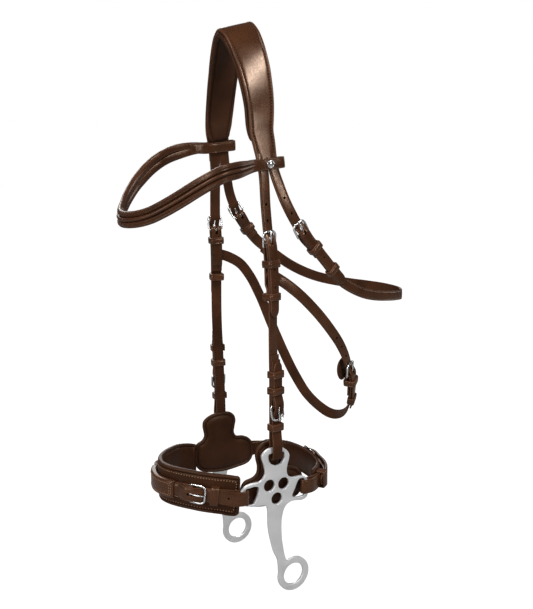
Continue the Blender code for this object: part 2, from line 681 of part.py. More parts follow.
# ------------------------------------------------------------ cheeks
LOWER_BAR = CHEEK.nearest((69.7, -2.7, 105))
LOWER_TIP = CHEEK.nearest((71, -4.2, 158))     # tip of the billet from the plate
EYE_PLACE = CHEEK.nearest((68.6, -1.5, 50))
CHAPE_HALF = 0.9                               # half thickness of the sewn chape
CHAPE_INNER = STRAP_THICK / 2 + 0.45 + CHAPE_HALF      # inner leg height
CHAPE_OUTER = CHAPE_INNER + 2 * CHAPE_HALF + 0.25      # outer leg height
CHAPE_BILLET = CHAPE_OUTER + CHAPE_HALF + 0.45 + STRAP_THICK / 2   # billet on the chape
CHAPE_RADIUS = WIRE + LAYER_GAP + CHAPE_HALF
LOWER_BAR_OUT = CHAPE_INNER + CHAPE_RADIUS
CHAPE_LEG = LOWER_BAR_OUT + CHAPE_RADIUS       # outer leg height at the bar
OUTER_LEG = 2 * (PLATE_X - CHEEK_EYE_X)        # strap outside the plate


def cheek_strap(mirror, side):
    """Upper fold, long run, down inside the plate, out through its eye and
    up outside, under the lower buckle's closed end and over its bar."""
    upper = UPPER_BARS[mirror]
    bend = EYE_PLACE + 7.2
    radius = OUTER_LEG / 2
    over = CHAPE_LEG + CHAPE_HALF + 2 * LAYER_GAP + STRAP_THICK / 2
    path = [(upper + 53.5, -3.15), (upper + 49, -3.15), (upper + 44, FOLD), (upper + 8, FOLD),
            (upper + 3, FOLD)]
    path += round_bar(upper, -BAR_DROP, BAR_DROP, -1, -90, 90)
    path += [(upper + 3, 0), (upper + 60, 0), (LOWER_BAR, 0), (EYE_PLACE - 6, 0),
             (bend - 3.0, 0.0)]
    path += [(bend + radius * math.sin(a), radius - radius * math.cos(a))
             for a in np.radians(np.linspace(0, 180, 8))]
    path += [(bend - 3.0, OUTER_LEG), (EYE_PLACE - 8, OUTER_LEG - 0.1), (EYE_PLACE - 18, 6.2),
             (LOWER_BAR + BUCKLE_LENGTH + 4, CHAPE_LEG - 3.0),
             (LOWER_BAR + BUCKLE_LENGTH - 2.5, CHAPE_LEG - 2.8),
             (LOWER_BAR + 10, CHAPE_LEG - 0.6), (LOWER_BAR + 3, over), (LOWER_BAR - 3, over),
             (LOWER_BAR - 12, CHAPE_BILLET), (LOWER_TIP, CHAPE_BILLET)]
    ob = strap("cheek_strap_" + side, CHEEK, path, STRAP_HALF, step=16, tip=TIP, mirror=mirror)
    boolean(ob, [tongue_slot(CHEEK, upper, -1, -BAR_DROP),
                 tongue_hole(CHEEK, LOWER_BAR, 1, CHAPE_LEG + 1.4, 4.4),
                 hole(CHEEK, LOWER_BAR - 22, CHAPE_BILLET, 1.3, depth=1.5)], mirror=mirror)


def lower_chape(mirror, side):
    """Thin fold round the lower buckle bar, lying on the cheek strap."""
    path = [(LOWER_BAR - 60, CHAPE_INNER), (LOWER_BAR - 10, CHAPE_INNER),
            (LOWER_BAR - 3, CHAPE_INNER)]
    path += round_bar(LOWER_BAR, LOWER_BAR_OUT, CHAPE_RADIUS, 1, -90, 90)
    path += [(LOWER_BAR - 3, CHAPE_LEG), (LOWER_BAR - 12, CHAPE_OUTER),
             (LOWER_BAR - 54, CHAPE_OUTER)]
    ob = strap("lower_chape_" + side, CHEEK, path, STRAP_HALF, step=20,
               thickness=2 * CHAPE_HALF, mirror=mirror)
    boolean(ob, [tongue_slot(CHEEK, LOWER_BAR, 1, LOWER_BAR_OUT)], mirror=mirror)


def cheek_keepers(mirror, side):
    # two keepers on the upper buckle's layers
    low = FOLD - STRAP_THICK / 2
    keeper("upper_fixed_keeper_" + side, CHEEK, UPPER_BARS[mirror] + (14.5 if mirror else 20),
           STRAP_HALF, low, BILLET_TOP, mirror)
    runner = CHEEK.nearest((71.2, -5, 237 if mirror else 233))
    keeper("upper_runner_keeper_" + side, CHEEK, runner, STRAP_HALF, low, BILLET_TOP, mirror,
           slides=True)
    # three keepers on the lower buckle's layers
    low = -STRAP_THICK / 2
    high = CHAPE_BILLET + STRAP_THICK / 2
    keeper("lower_tip_keeper_" + side, CHEEK, CHEEK.nearest((70.7, -3.7, 142.5)), STRAP_HALF,
           low, high, mirror, arch=True)
    keeper("lower_runner_keeper_" + side, CHEEK, CHEEK.nearest((70.2, -3.2, 123)), STRAP_HALF,
           low, high + 0.25, mirror, slides=True)
    keeper("lower_fixed_keeper_" + side, CHEEK, CHEEK.nearest((69, -2, 78.3)), STRAP_HALF,
           low, OUTER_LEG - 0.4, mirror, arch=True)


for is_far, side_name in SIDES:
    cheek_strap(is_far, side_name)
    lower_chape(is_far, side_name)
    buckle("upper_cheek_" + side_name, CHEEK, UPPER_BARS[is_far], -1, -BAR_DROP, STRAP_HALF,
           is_far)
    buckle("lower_cheek_" + side_name, CHEEK, LOWER_BAR, 1, LOWER_BAR_OUT, STRAP_HALF, is_far,
           rise=3.0)
    cheek_keepers(is_far, side_name)


# ------------------------------------------------------------ throatlash
def throatlash():
    """Strap folded round a buckle bar at each end."""
    near_bar, far_bar = THROAT_BARS
    path = turned_end(near_bar, 34) + [(near_bar + 60, 0)]
    path += from_far_end(turned_end(far_bar, 34) + [(far_bar + 60, 0)], THROAT)[::-1]
    far_place = THROAT.length - far_bar
    ob = strap("throatlash_strap", THROAT, path, STRAP_HALF, step=11)
    boolean(ob, [tongue_slot(THROAT, near_bar, -1, -BAR_DROP),
                 tongue_slot(THROAT, far_place, 1, -BAR_DROP)])
    # the fixed keepers are sewn into the folded ends, one piece with the strap
    low = FOLD + 2.5 - STRAP_THICK / 2 + 0.9
    fixed = THROAT.nearest((68, 53, 285)) - near_bar
    boolean(ob, [keeper_loop(THROAT, place, STRAP_HALF, low, BILLET_TOP)
                 for place in (near_bar + fixed, far_place - fixed)], 'UNION', tag="keepers")
    runner = THROAT.nearest((64.3, 80, 257)) - near_bar
    for mirror, side in SIDES:
        spine = THROATS[mirror]
        bar = THROAT_BARS[mirror]
        buckle("throatlash_" + side, spine, bar, -1, -BAR_DROP, STRAP_HALF, mirror)
        keeper("throatlash_runner_keeper_" + side, spine, bar + runner, STRAP_HALF,
               -STRAP_THICK / 2, BILLET_TOP, mirror, slides=True)


throatlash()


# ------------------------------------------------------------ jaw strap
def jaw_strap():
    """Short billet from the near cheek, long buckled part from the far one."""
    bar = JAW.nearest((59.8, 115.5, 122))
    tip = JAW.nearest((41, 124.3, 74))
    billet = strap("jaw_strap_billet", JAW, over_buckle(bar, -4.3, tip), STRAP_HALF, step=11,
                   thickness=JAW_THICK, tip=TIP)
    spare = [hole(JAW, bar - x, out, 1.5, depth=2.2)
             for x, out in ((29, -0.6), (44, -0.2), (59, -0.2))]
    boolean(billet, [tongue_hole(JAW, bar, -1, 1.0, 5.5)] + spare)

    path = turned_end(bar, 30) + [(bar + 40, 0), (JAW.length + 4.3, 0)]
    long_part = strap("jaw_strap_long", JAW, path, STRAP_HALF, step=11, thickness=JAW_THICK)
    boolean(long_part, [tongue_slot(JAW, bar, -1, -BAR_DROP)])
    buckle("jaw", JAW, bar, -1, -BAR_DROP, STRAP_HALF)
    keeper("jaw_fixed_keeper", JAW, bar + 10.5, STRAP_HALF, FOLD - STRAP_THICK / 2, BILLET_TOP)
    keeper("jaw_runner_keeper", JAW, bar + 38, STRAP_HALF, -STRAP_THICK / 2, BILLET_TOP,
           slides=True)

    # oval guard on the inner side of the buckle
    top = FOLD - STRAP_THICK / 2 - LAYER_GAP - 0.6
    outline = [(bar - 10 + 15 * math.cos(a), -3.0 + 14.5 * math.sin(a))
               for a in np.arange(12) * 2 * math.pi / 12]
    build("jaw_buckle_guard", prism(JAW, outline, top, top - 2.2), LINING)


jaw_strap()

# ------------------------------------------------------------ browband
LOOP_THICK = 2.1
LOOP_RADIUS = 4.1


def brow_half(spine, fold, joint, full):
    """Sections from the loop's sewn tail round its rear fold to the middle.
    The loop meets the band at `joint`; full section is reached at `full`."""
    def section(along, out, half, thick, flat=0.93):
        return [spine.at(along, across, out + rise) for across, rise in (
            (-half, 0.0), (-half * flat, thick / 2), (half * flat, thick / 2),
            (half, 0.0), (half * flat, -thick / 2), (-half * flat, -thick / 2))]

    back = -2 * LOOP_RADIUS                    # height of the loop's inner leg
    centre = (fold + joint) / 2
    half = [section(joint + 21.0, -4.2, 6.2, LOOP_THICK),
            section(joint + 14.5, -4.1, 6.2, LOOP_THICK),
            section(joint + 6.5, back - 1, 6.3, LOOP_THICK),
            section(centre, back - 0.6, 6.3, LOOP_THICK),
            section(fold + 3, back, 6.3, LOOP_THICK)]
    for angle in np.radians((-90, -45, 0, 45, 90)):
        reach = math.cos(angle)
        rise = math.sin(angle)
        half.append([spine.at(fold - reach * (LOOP_RADIUS + face * LOOP_THICK / 2), across,
                              -LOOP_RADIUS + rise * (LOOP_RADIUS + face * LOOP_THICK / 2))
                     for across, face in ((-6.3, 0), (-5.9, 1), (5.9, 1),
                                          (6.3, 0), (5.9, -1), (-5.9, -1))])
    half += [section(fold + 3, 0, 6.3, LOOP_THICK), section(centre, 0, 6.3, LOOP_THICK),
             section(joint, 0.3, 6.4, LOOP_THICK + 0.3, 0.9)]
    for along in np.linspace(joint + 8, spine.nearest(BROW_MIDDLE), 13):
        ease = min(1.0, (along - joint) / (full - joint))
        ease = ease * ease * (3 - 2 * ease)
        half.append(section(along, 0.6 * ease, 6.4 + 3.0 * ease, 2.4 + 5.6 * ease,
                            0.9 - 0.35 * ease))
    return half


def browband():
    """Band with a loop at each end, and a stud on its near loop."""
    spine = Spine(BROW_ROWS)
    far_spine = other_side(BROW_ROWS)
    near = brow_half(spine, *(spine.nearest(p) for p in (
        (62.5, 11.5, 383.2), (63, -18, 380.3), (80, -57.5, 375.5))))
    far = brow_half(far_spine, *(far_spine.nearest(p) for p in (
        (60.4, 10.3, 403.1), (60.9, -19.5, 399.9), (79.2, -57.5, 391.8))))
    # both halves end at the same middle section, used once
    sections = near + [[p * FLIP_X for p in section] for section in far[-2::-1]]
    build("browband", rings(sections), LEATHER, origin=BROW_PIVOT)

    centre, tangent, side, normal = spine.frame(spine.nearest((62.6, -4.5, 381.5)))
    face = LOOP_THICK / 2
    stud = [[centre + out * normal + radius * (math.cos(a) * tangent + math.sin(a) * side)
             for a in np.arange(12) * math.pi / 6]
            for out, radius in ((face + 0.55, 4.6), (face + 1.5, 4.6), (face + 2.2, 3.6))]
    build("browband_stud", rings(stud), POLISHED, origin=BROW_PIVOT, smooth=True)


browband()

# ------------------------------------------------------------ lever plates
# Every outline below is a list of (y, z) points.
# front edge, from above the eye down to the ring
PLATE_FRONT = [
    (-4, 53), (-11, 53), (-16.5, 50.5), (-20.5, 47), (-21, 43), (-18.5, 35), (-17, 29),
    (-16.5, 24), (-17.7, 20), (-20.5, 16.5), (-24, 14.5), (-30, 14), (-36, 13.8), (-42, 12.5),
    (-46, 10), (-48.5, 7), (-48.5, -6), (-46, -10), (-42.5, -12), (-37, -14), (-29, -15.2),
    (-20.5, -16), (-15, -18), (-13, -23), (-12.7, -31), (-12.5, -42), (-11, -53.5),
    (-8.3, -65.5), (-4.3, -79.8), (1, -91.6)]
# rear edge, from the ring back up to the eye
PLATE_REAR = [
    (10.5, -86), (8.6, -76), (6.9, -65.5), (6.1, -54), (6.1, -43), (7.3, -33.6), (9.5, -27),
    (13, -22), (19, -19.4), (26, -19.4), (34, -20.7), (39.5, -19.5), (42.5, -16.5),
    (43.2, -10), (43.2, 0), (42, 5), (39, 8), (34, 10.4), (26, 10.8), (20, 11.3), (15.5, 14),
    (13.4, 18), (13, 23), (14, 28.7), (16, 36), (16.5, 40.5), (14.6, 45), (10.3, 49), (4, 52.7)]
EYE = [(-11.3, 46), (-12.2, 41), (-10.8, 36.5), (-7.2, 32.5), (-2, 30.3), (3, 30.8), (7, 33.8),
       (9.2, 38.5), (9.4, 43), (8, 46)]
FRONT_SLOT = [(-42.6, 8.4), (-36, 9.6), (-30.5, 9.9), (-25, 6.8), (-31.2, -11), (-36.5, -11.6),
              (-42.6, -10.8)]
REAR_SLOT = [(38, 5.8), (30.3, 6.8), (24.5, -4), (20.8, -12.5), (26, -15.5), (33, -16),
             (38, -14.6)]
PAD = [
    (-23.5, 43), (-22, 50), (-15, 56), (-4, 58.5), (6, 57.2), (13.5, 52), (16, 44.5),
    (14.5, 36), (13.5, 28.5), (17, 22.5), (26, 20.8), (35, 16.5), (41, 9), (42.8, -2),
    (40.5, -12.5), (34, -19), (20, -22), (0, -23.8), (-20, -22), (-34, -18), (-41, -11.5),
    (-44, -2), (-42.5, 8), (-37.5, 14.2), (-27, 16.8), (-22, 21), (-21, 29), (-22.7, 37)]
# the far pad has a broader upper lobe towards the nose
PAD_FAR = [(-32, 43), (-30.5, 50), (-22, 56), (-9, 58.5)] + PAD[4:-5] + [
    (-38.5, 14.4), (-32.5, 17.5), (-29.5, 22), (-29, 29.5), (-31, 37)]


def arc(centre, radius, start, end, count):
    """(y, z) points on an arc, angles in degrees."""
    return [(centre[0] + radius * math.cos(a), centre[1] + radius * math.sin(a))
            for a in np.radians(np.linspace(start, end, count))]


def triangles(loops):
    """Triangles filling the first loop, less the others."""
    return [tuple(t) for t in
            tessellate_polygon([[Vector((y, z, 0)) for y, z in loop] for loop in loops])]


def lever_plate(mirror, side):
    """Flat plate with the eye, two strap slots, three round holes and a
    rein ring."""
    outer = PLATE_FRONT + arc(RING_CENTRE, RING_OUTER, 165, 475, 22) + PLATE_REAR
    loops = [outer, EYE, FRONT_SLOT, REAR_SLOT]
    loops += [arc(centre, HOLE_RADIUS, 0, 337.5, 16) for centre in HOLE_CENTRES]
    loops.append(arc(RING_CENTRE, RING_INNER, 0, 342, 20))
    points = [p for loop in loops for p in loop]
    total = len(points)
    verts = [(x, y, z) for x in (PLATE_X + PLATE_THICK / 2, PLATE_X - PLATE_THICK / 2)
             for y, z in points]
    fill = triangles(loops)
    faces = fill + [tuple(i + total for i in t[::-1]) for t in fill]
    start = 0
    for loop in loops:
        size = len(loop)
        for j in range(size):
            this = start + j
            after = start + (j + 1) % size
            faces.append((this, after, after + total, this + total))
        start += size
    build("lever_plate_" + side, (verts, faces), STEEL, origin=LEVER_PIVOT, mirror=mirror)


def lever_pad(mirror, side):
    """Block on the inner side of the plate, thinner at its rim."""
    rim = np.array(PAD_FAR if mirror else PAD)
    size = len(rim)
    chord = np.roll(rim, -1, 0) - np.roll(rim, 1, 0)
    inward = unit(np.stack([chord[:, 1], -chord[:, 0]], 1))
    inset = rim + inward * 3.0
    half = PAD_THICK / 2
    verts = []
    for outline, x in ((inset, PAD_X + half), (rim, PAD_X + half - 2.0),
                       (rim, PAD_X - half + 2.0), (inset, PAD_X - half)):
        verts += [(x, y, z) for y, z in outline]
    faces = []
    for level in range(3):
        this = level * size
        for j in range(size):
            k = (j + 1) % size
            faces.append((this + j, this + k, this + size + k, this + size + j))
    fill = triangles([inset])
    faces += fill + [tuple(i + 3 * size for i in t) for t in fill]
    build("lever_pad_" + side, (verts, faces), LINING, origin=LEVER_PIVOT, mirror=mirror)


for is_far, side_name in SIDES:
    lever_plate(is_far, side_name)
    lever_pad(is_far, side_name)

# ------------------------------------------------------------ noseband
NOSE_MIDDLE = NOSE.length / 2
NOSE_BAR = NOSE_MIDDLE - 44.5                  # near buckle bar
OVERLAY_THICK = 2.0
OVERLAY_OUT = NOSE_THICK / 2 + 0.4 + OVERLAY_THICK / 2
OVERLAY_RADIUS = WIRE + LAYER_GAP + OVERLAY_THICK / 2
NOSE_BAR_OUT = OVERLAY_OUT + OVERLAY_RADIUS
OVERLAY_LEG = NOSE_BAR_OUT + OVERLAY_RADIUS    # leg folded back over the bar
NOSE_OVER_BAR = OVERLAY_LEG + OVERLAY_THICK / 2 + LAYER_GAP + STRAP_THICK / 2
NOSE_BILLET = OVERLAY_OUT + OVERLAY_THICK / 2 + 0.4 + STRAP_THICK / 2  # on the overlay


def noseband_pad():
    start = NOSE.nearest((65, -46.3, -1))
    sections = []
    for along in np.linspace(start, NOSE.length - start, 19):
        from_end = min(along - start, NOSE.length - start - along)
        thick = 4.4 + (NOSE_THICK - 0.7 - 4.4) * min(1.0, from_end / 14.0)
        sections.append(padded_section(NOSE, along, 0, NOSE_HALF_HEIGHT, thick, 3))
    build("noseband", rings(sections), LEATHER, origin=NOSE_PIVOT)


def noseband_overlay():
    """Strap between the two buckles, with a long sleeve at its middle."""
    near = [(NOSE_BAR + 8, OVERLAY_OUT + 2.3), (NOSE_BAR + 3, OVERLAY_LEG)]
    near += round_bar(NOSE_BAR, NOSE_BAR_OUT, OVERLAY_RADIUS, -1, 90, -90)
    near.append((NOSE_BAR + 3, OVERLAY_OUT))
    path = near + [(NOSE_MIDDLE, OVERLAY_OUT)] + from_far_end(near, NOSE)[::-1]
    ob = strap("noseband_overlay", NOSE, path, NOSE_STRAP_HALF, step=12,
               thickness=OVERLAY_THICK, origin=NOSE_PIVOT)
    sleeve = keeper_loop(NOSE, NOSE_MIDDLE, NOSE_STRAP_HALF, OVERLAY_OUT + 1.15,
                         NOSE_BILLET + STRAP_THICK / 2 + 0.4, length=52, wall=1.6, count=8)
    boolean(ob, [sleeve], 'UNION', tag="sleeve")
    boolean(ob, [tongue_slot(NOSE, NOSE_BAR, -1, NOSE_BAR_OUT),
                 tongue_slot(NOSE, NOSE.length - NOSE_BAR, 1, NOSE_BAR_OUT)])


def noseband_side(mirror, side):
    """Side strap, buckle and keeper.  The strap runs from its end on the pad
    round the slot bar, back under the buckle's closed end, over its bar and
    into the sleeve."""
    slot_x = 64.9                              # spine plane at the slot bar
    slot = NOSE.nearest((slot_x, FRONT_BAR[0], -1))
    slot_out = PLATE_X - slot_x
    inner = NOSE_THICK / 2 + LAYER_GAP + STRAP_THICK / 2 + 0.1
    outer = inner + STRAP_THICK + 0.4
    path = [(NOSE_BAR - 21.5, inner), (slot + 18, inner)] + slot_turn(slot, slot_out, 4.3)
    path += [(NOSE_BAR - 32, outer), (NOSE_BAR - 23.5, outer), (NOSE_BAR - 18.5, 6.7),
             (NOSE_BAR - 15, 6.7), (NOSE_BAR - 9.5, NOSE_OVER_BAR - 2.7),
             (NOSE_BAR - 3, NOSE_OVER_BAR), (NOSE_BAR + 4, NOSE_OVER_BAR),
             (NOSE_BAR + 13, NOSE_BILLET), (NOSE_BAR + 26, NOSE_BILLET)]
    ob = strap("noseband_strap_" + side, NOSE, path, NOSE_STRAP_HALF, step=10, tip=WIDE_TIP,
               origin=NOSE_PIVOT, mirror=mirror)
    boolean(ob, [tongue_hole(NOSE, NOSE_BAR, -1, NOSE_OVER_BAR - 1.2, 4.5),
                 hole(NOSE, slot + 14.5, slot_out + 3.0, 1.4, depth=2.9)], mirror=mirror)
    buckle("noseband_" + side, NOSE, NOSE_BAR, -1, NOSE_BAR_OUT, NOSE_STRAP_HALF, mirror,
           rise=1.8)
    keeper("noseband_keeper_" + side, NOSE, NOSE_BAR - BUCKLE_LENGTH - 10, NOSE_STRAP_HALF,
           NOSE_THICK / 2 + 0.2, inner + 1.5 * STRAP_THICK + 0.6, mirror, arch=True,
           slides=True)


noseband_pad()
noseband_overlay()
for is_far, side_name in SIDES:
    noseband_side(is_far, side_name)


# ------------------------------------------------------------ chin strap
def chin_pad():
    start = CHIN.nearest((61.5, 57, -4))
    sections = []
    for along in np.linspace(start, CHIN.length - start, 15):
        from_end = min(along - start, CHIN.length - start - along)
        grow = min(1.0, from_end / 30.0)
        sections.append(padded_section(CHIN, along, -4.25 * grow, 13 + 4.75 * grow, 6.4, 2.5))
    build("chin_pad", rings(sections), LINING, origin=CHIN_PIVOT)


def chin_straps():
    """Two straps from the rear slots, buckled near the middle of the chin."""
    slot_x = 64.5                              # spine plane at the slot bar
    slot = CHIN.nearest((slot_x, REAR_BAR[0], -4))
    slot_out = PLATE_X - slot_x
    bar = CHIN.length / 2 - 2                  # closed end towards the far side
    inner = 3.5 + LAYER_GAP + STRAP_THICK / 2  # sewn leg
    outer = inner + STRAP_THICK + 0.45         # outer leg on the sewn leg
    billet = outer + STRAP_THICK + 0.6         # billet on the outer leg
    bar_out = inner + BAR_DROP
    leg = inner + 2 * BAR_DROP
    # what both straps share, from the sewn end round the slot bar and back
    side_path = [(slot + 34, inner), (slot + 14, inner)] + slot_turn(slot, slot_out, 4.1)
    side_path += [(slot + 6, slot_out + SLOT_TURN_RADIUS), (slot + 16.5, outer),
                  (slot + 38, outer), (slot + 48, inner)]

    path = side_path + [(bar - 8, inner), (bar - 3, inner)]
    path += round_bar(bar, bar_out, BAR_DROP, 1, -90, 90)
    path += [(bar - 3, leg), (bar - 11, inner + STRAP_THICK + 0.2)]
    left = strap("chin_strap_left", CHIN, path, NOSE_STRAP_HALF, step=10, origin=CHIN_PIVOT)
    boolean(left, [tongue_slot(CHIN, bar, 1, bar_out)])
    buckle("chin", CHIN, bar, 1, bar_out, NOSE_STRAP_HALF)

    path = from_far_end(side_path, CHIN)
    path += [(bar + BUCKLE_LENGTH + 5, inner + 1.5),
             (bar + BUCKLE_LENGTH - 2.5, leg + UNDER_END), (bar + 10, leg + 0.2),
             (bar + 3, leg + OVER_BAR), (bar - 3, leg + OVER_BAR), (bar - 16, billet),
             (slot + 19, billet)]
    right = strap("chin_strap_right", CHIN, path, NOSE_STRAP_HALF, step=10, tip=WIDE_TIP,
                  origin=CHIN_PIVOT)
    boolean(right, [tongue_hole(CHIN, bar, 1, leg + 1.2, 4.6)])
    keeper("chin_keeper", CHIN, slot + 25.5, NOSE_STRAP_HALF, inner - STRAP_THICK / 2 + 0.1,
           billet + STRAP_THICK / 2 + 0.3, arch=True, origin=CHIN_PIVOT)


chin_pad()
chin_straps()
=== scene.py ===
# Bitless bridle: leather straps, pads, stitching and metal, built in millimetres.
# +Z is up to the crown, -Y is the noseband's front, +X is the left (near) side.
# SHIFT moves this layout onto the CAD frame.
import json
import math
import bpy
import bmesh
import numpy as np
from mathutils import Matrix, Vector
from mathutils.geometry import tessellate_polygon, delaunay_2d_cdt


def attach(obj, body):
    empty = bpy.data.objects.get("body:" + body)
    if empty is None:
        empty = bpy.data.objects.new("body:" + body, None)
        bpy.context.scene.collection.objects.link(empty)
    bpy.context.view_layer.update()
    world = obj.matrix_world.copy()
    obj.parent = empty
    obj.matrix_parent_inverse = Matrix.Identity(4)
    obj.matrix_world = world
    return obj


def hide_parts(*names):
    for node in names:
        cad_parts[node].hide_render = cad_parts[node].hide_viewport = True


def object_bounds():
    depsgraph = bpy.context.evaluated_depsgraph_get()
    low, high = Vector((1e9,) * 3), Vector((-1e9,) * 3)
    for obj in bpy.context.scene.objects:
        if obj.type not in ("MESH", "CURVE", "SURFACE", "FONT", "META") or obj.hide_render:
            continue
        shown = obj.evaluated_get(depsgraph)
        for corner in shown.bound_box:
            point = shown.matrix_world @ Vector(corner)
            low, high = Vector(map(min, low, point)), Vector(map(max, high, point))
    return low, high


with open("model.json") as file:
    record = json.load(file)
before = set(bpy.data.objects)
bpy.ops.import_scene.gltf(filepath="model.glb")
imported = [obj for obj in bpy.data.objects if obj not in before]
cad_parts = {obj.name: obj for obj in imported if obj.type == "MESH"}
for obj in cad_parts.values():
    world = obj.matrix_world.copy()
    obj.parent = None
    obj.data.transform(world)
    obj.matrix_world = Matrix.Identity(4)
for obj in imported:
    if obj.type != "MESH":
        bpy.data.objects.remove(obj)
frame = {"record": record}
CAD_LOW, CAD_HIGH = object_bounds()
MM = 0.001
SHIFT = np.array([0.0, -37.57, 136.19])
BODY_OF = {n: b for b, ns in frame["record"]["behaviour"]["bodies"].items() for n in ns}
SIDES = ((False, "left"), (True, "right"))      # (mirrored in x, name)

# ---------------------------------------------------------------- sizes (mm)
STRAP_W, STRAP_T = 13.0, 2.5
HALF = STRAP_W / 2
JAW_T = 2.2
NOSE_STRAP_HALF = 17.5 / 2                      # noseband and chin straps
GAP = 0.3                                       # clearance round a bar
BUCKLE_L, WIRE, TONGUE = 17.0, 1.3, 1.0         # length and wire radii
BAR_DROP = 2.85                                 # bar centre below the strap's middle
OVER, DIP = 3.0, -2.2                           # strap over the bar, and beyond the frame
KEEPER_L, KEEPER_T = 8.5, 1.7
CROWN_T, CROWN_PAD_T = 3.0, 5.0
PLATE_X, PLATE_T, PAD_X = 72.75, 3.5, 62.0      # lever plates and pads, middle planes
EYE_X = 68.6                                    # cheek strap at the plate's eye
FRONT_BAR_Y, REAR_BAR_Y = -45.5, 40.6           # plate bars that hold nose and chin straps

# ---------------------------------------------------------------- materials


def new_material(name):
    material = bpy.data.materials.new(name)
    material.use_nodes = True
    tree = material.node_tree
    return material, tree, tree.nodes["Principled BSDF"]


def feed(tree, target, inputs):
    """Links or sets a node's inputs; a tuple is a colour and gets alpha 1."""
    for key, value in inputs.items():
        if isinstance(value, bpy.types.NodeSocket):
            tree.links.new(value, target.inputs[key])
        else:
            target.inputs[key].default_value = (*value, 1.0) if isinstance(value, tuple) else value


def noise(tree, vector, scale, detail=2.0):
    texture = tree.nodes.new("ShaderNodeTexNoise")
    feed(tree, texture, {"Vector": vector, "Scale": scale, "Detail": detail})
    return texture.outputs


def ramp(tree, source, *stops):
    """Colour ramp; each stop is (position, colour or grey level)."""
    made = tree.nodes.new("ShaderNodeValToRGB")
    elements = made.color_ramp.elements
    while len(elements) < len(stops):
        elements.new(0.5)
    for element, (position, colour) in zip(elements, stops):
        element.position = position
        element.color = (*colour, 1.0) if isinstance(colour, tuple) else (*(colour,) * 3, 1.0)
    feed(tree, made, {"Fac": source})
    return made.outputs["Color"]


def mix(tree, factor, first, second, mode="MIX"):
    made = tree.nodes.new("ShaderNodeMix")
    made.data_type = "RGBA"
    made.blend_type = mode
    feed(tree, made, {0: factor, 6: first, 7: second})
    return made.outputs[2]


def maths(tree, operation, first, second, clamp=False):
    made = tree.nodes.new("ShaderNodeMath")
    made.operation = operation
    made.use_clamp = clamp
    feed(tree, made, {0: first, 1: second})
    return made.outputs[0]


def bump(tree, height, strength, distance):
    made = tree.nodes.new("ShaderNodeBump")
    feed(tree, made, {"Height": height, "Strength": strength, "Distance": distance})
    return made.outputs["Normal"]


def object_coords(tree):
    return tree.nodes.new("ShaderNodeTexCoord").outputs["Object"]


def pointiness(tree):
    return tree.nodes.new("ShaderNodeNewGeometry").outputs["Pointiness"]


def scaled(colour, factor):
    return tuple(c * factor for c in colour)


def leather(name, base, rough, grain, wear, spec, cell=1100.0, vary=0.3):
    """Patchy colour, cell-like pores, worn ridges and dark creases."""
    material, tree, shader = new_material(name)
    coords = object_coords(tree)
    patches = noise(tree, coords, scale=38.0, detail=4.0)["Fac"]
    fine = noise(tree, coords, scale=900.0, detail=3.0)["Fac"]
    warp = noise(tree, coords, scale=260.0)["Color"]
    cells = tree.nodes.new("ShaderNodeTexVoronoi")
    cells.feature = "DISTANCE_TO_EDGE"
    feed(tree, cells, {"Vector": mix(tree, 0.0035, coords, warp, "ADD"), "Scale": cell})
    pore = cells.outputs["Distance"]
    colour = ramp(tree, patches, (0.32, scaled(base, 1 - vary)), (0.5, base),
                  (0.7, scaled(base, 1 + vary * 1.1)))
    colour = mix(tree, 0.55, colour, ramp(tree, pore, (0.0, 0.62), (0.16, 1)), "MULTIPLY")
    ridge = ramp(tree, pointiness(tree), (0.5, 0), (0.56, 1))
    worn = maths(tree, "MULTIPLY", ridge, maths(tree, "MULTIPLY", patches, wear), clamp=True)
    colour = mix(tree, worn, colour, tuple(min(1.0, c * 2.6 + 0.012) for c in base))
    crease = ramp(tree, pointiness(tree), (0.44, 0.45), (0.495, 1))
    colour = mix(tree, 0.8, colour, crease, "MULTIPLY")
    height = maths(tree, "ADD",
                   maths(tree, "MULTIPLY", maths(tree, "MINIMUM", pore, 0.3), 1.4),
                   maths(tree, "MULTIPLY", fine, 0.5))
    feed(tree, shader, {
        "Base Color": colour,
        "Roughness": ramp(tree, fine, (0.3, rough - 0.07), (0.7, rough + 0.1)),
        "Specular IOR Level": spec,
        "Coat Roughness": 0.25,
        "Coat Tint": (1.0, 0.86, 0.74),
        "Specular Tint": (1.0, 0.74, 0.56),
        "Sheen Weight": 0.015,
        "Sheen Tint": (1.0, 0.8, 0.65),
        "Sheen Roughness": 0.5,
        "Normal": bump(tree, height, strength=grain, distance=0.00022)})
    return material


def thread(name, base, spec=0.12):
    material, tree, shader = new_material(name)
    twist = tree.nodes.new("ShaderNodeTexWave")
    twist.bands_direction = "DIAGONAL"
    feed(tree, twist, {"Vector": object_coords(tree), "Scale": 900.0})
    colour = ramp(tree, twist.outputs["Fac"], (0.2, scaled(base, 0.6)), (0.8, base))
    feed(tree, shader, {"Base Color": colour, "Roughness": 0.65, "Specular IOR Level": spec})
    return material


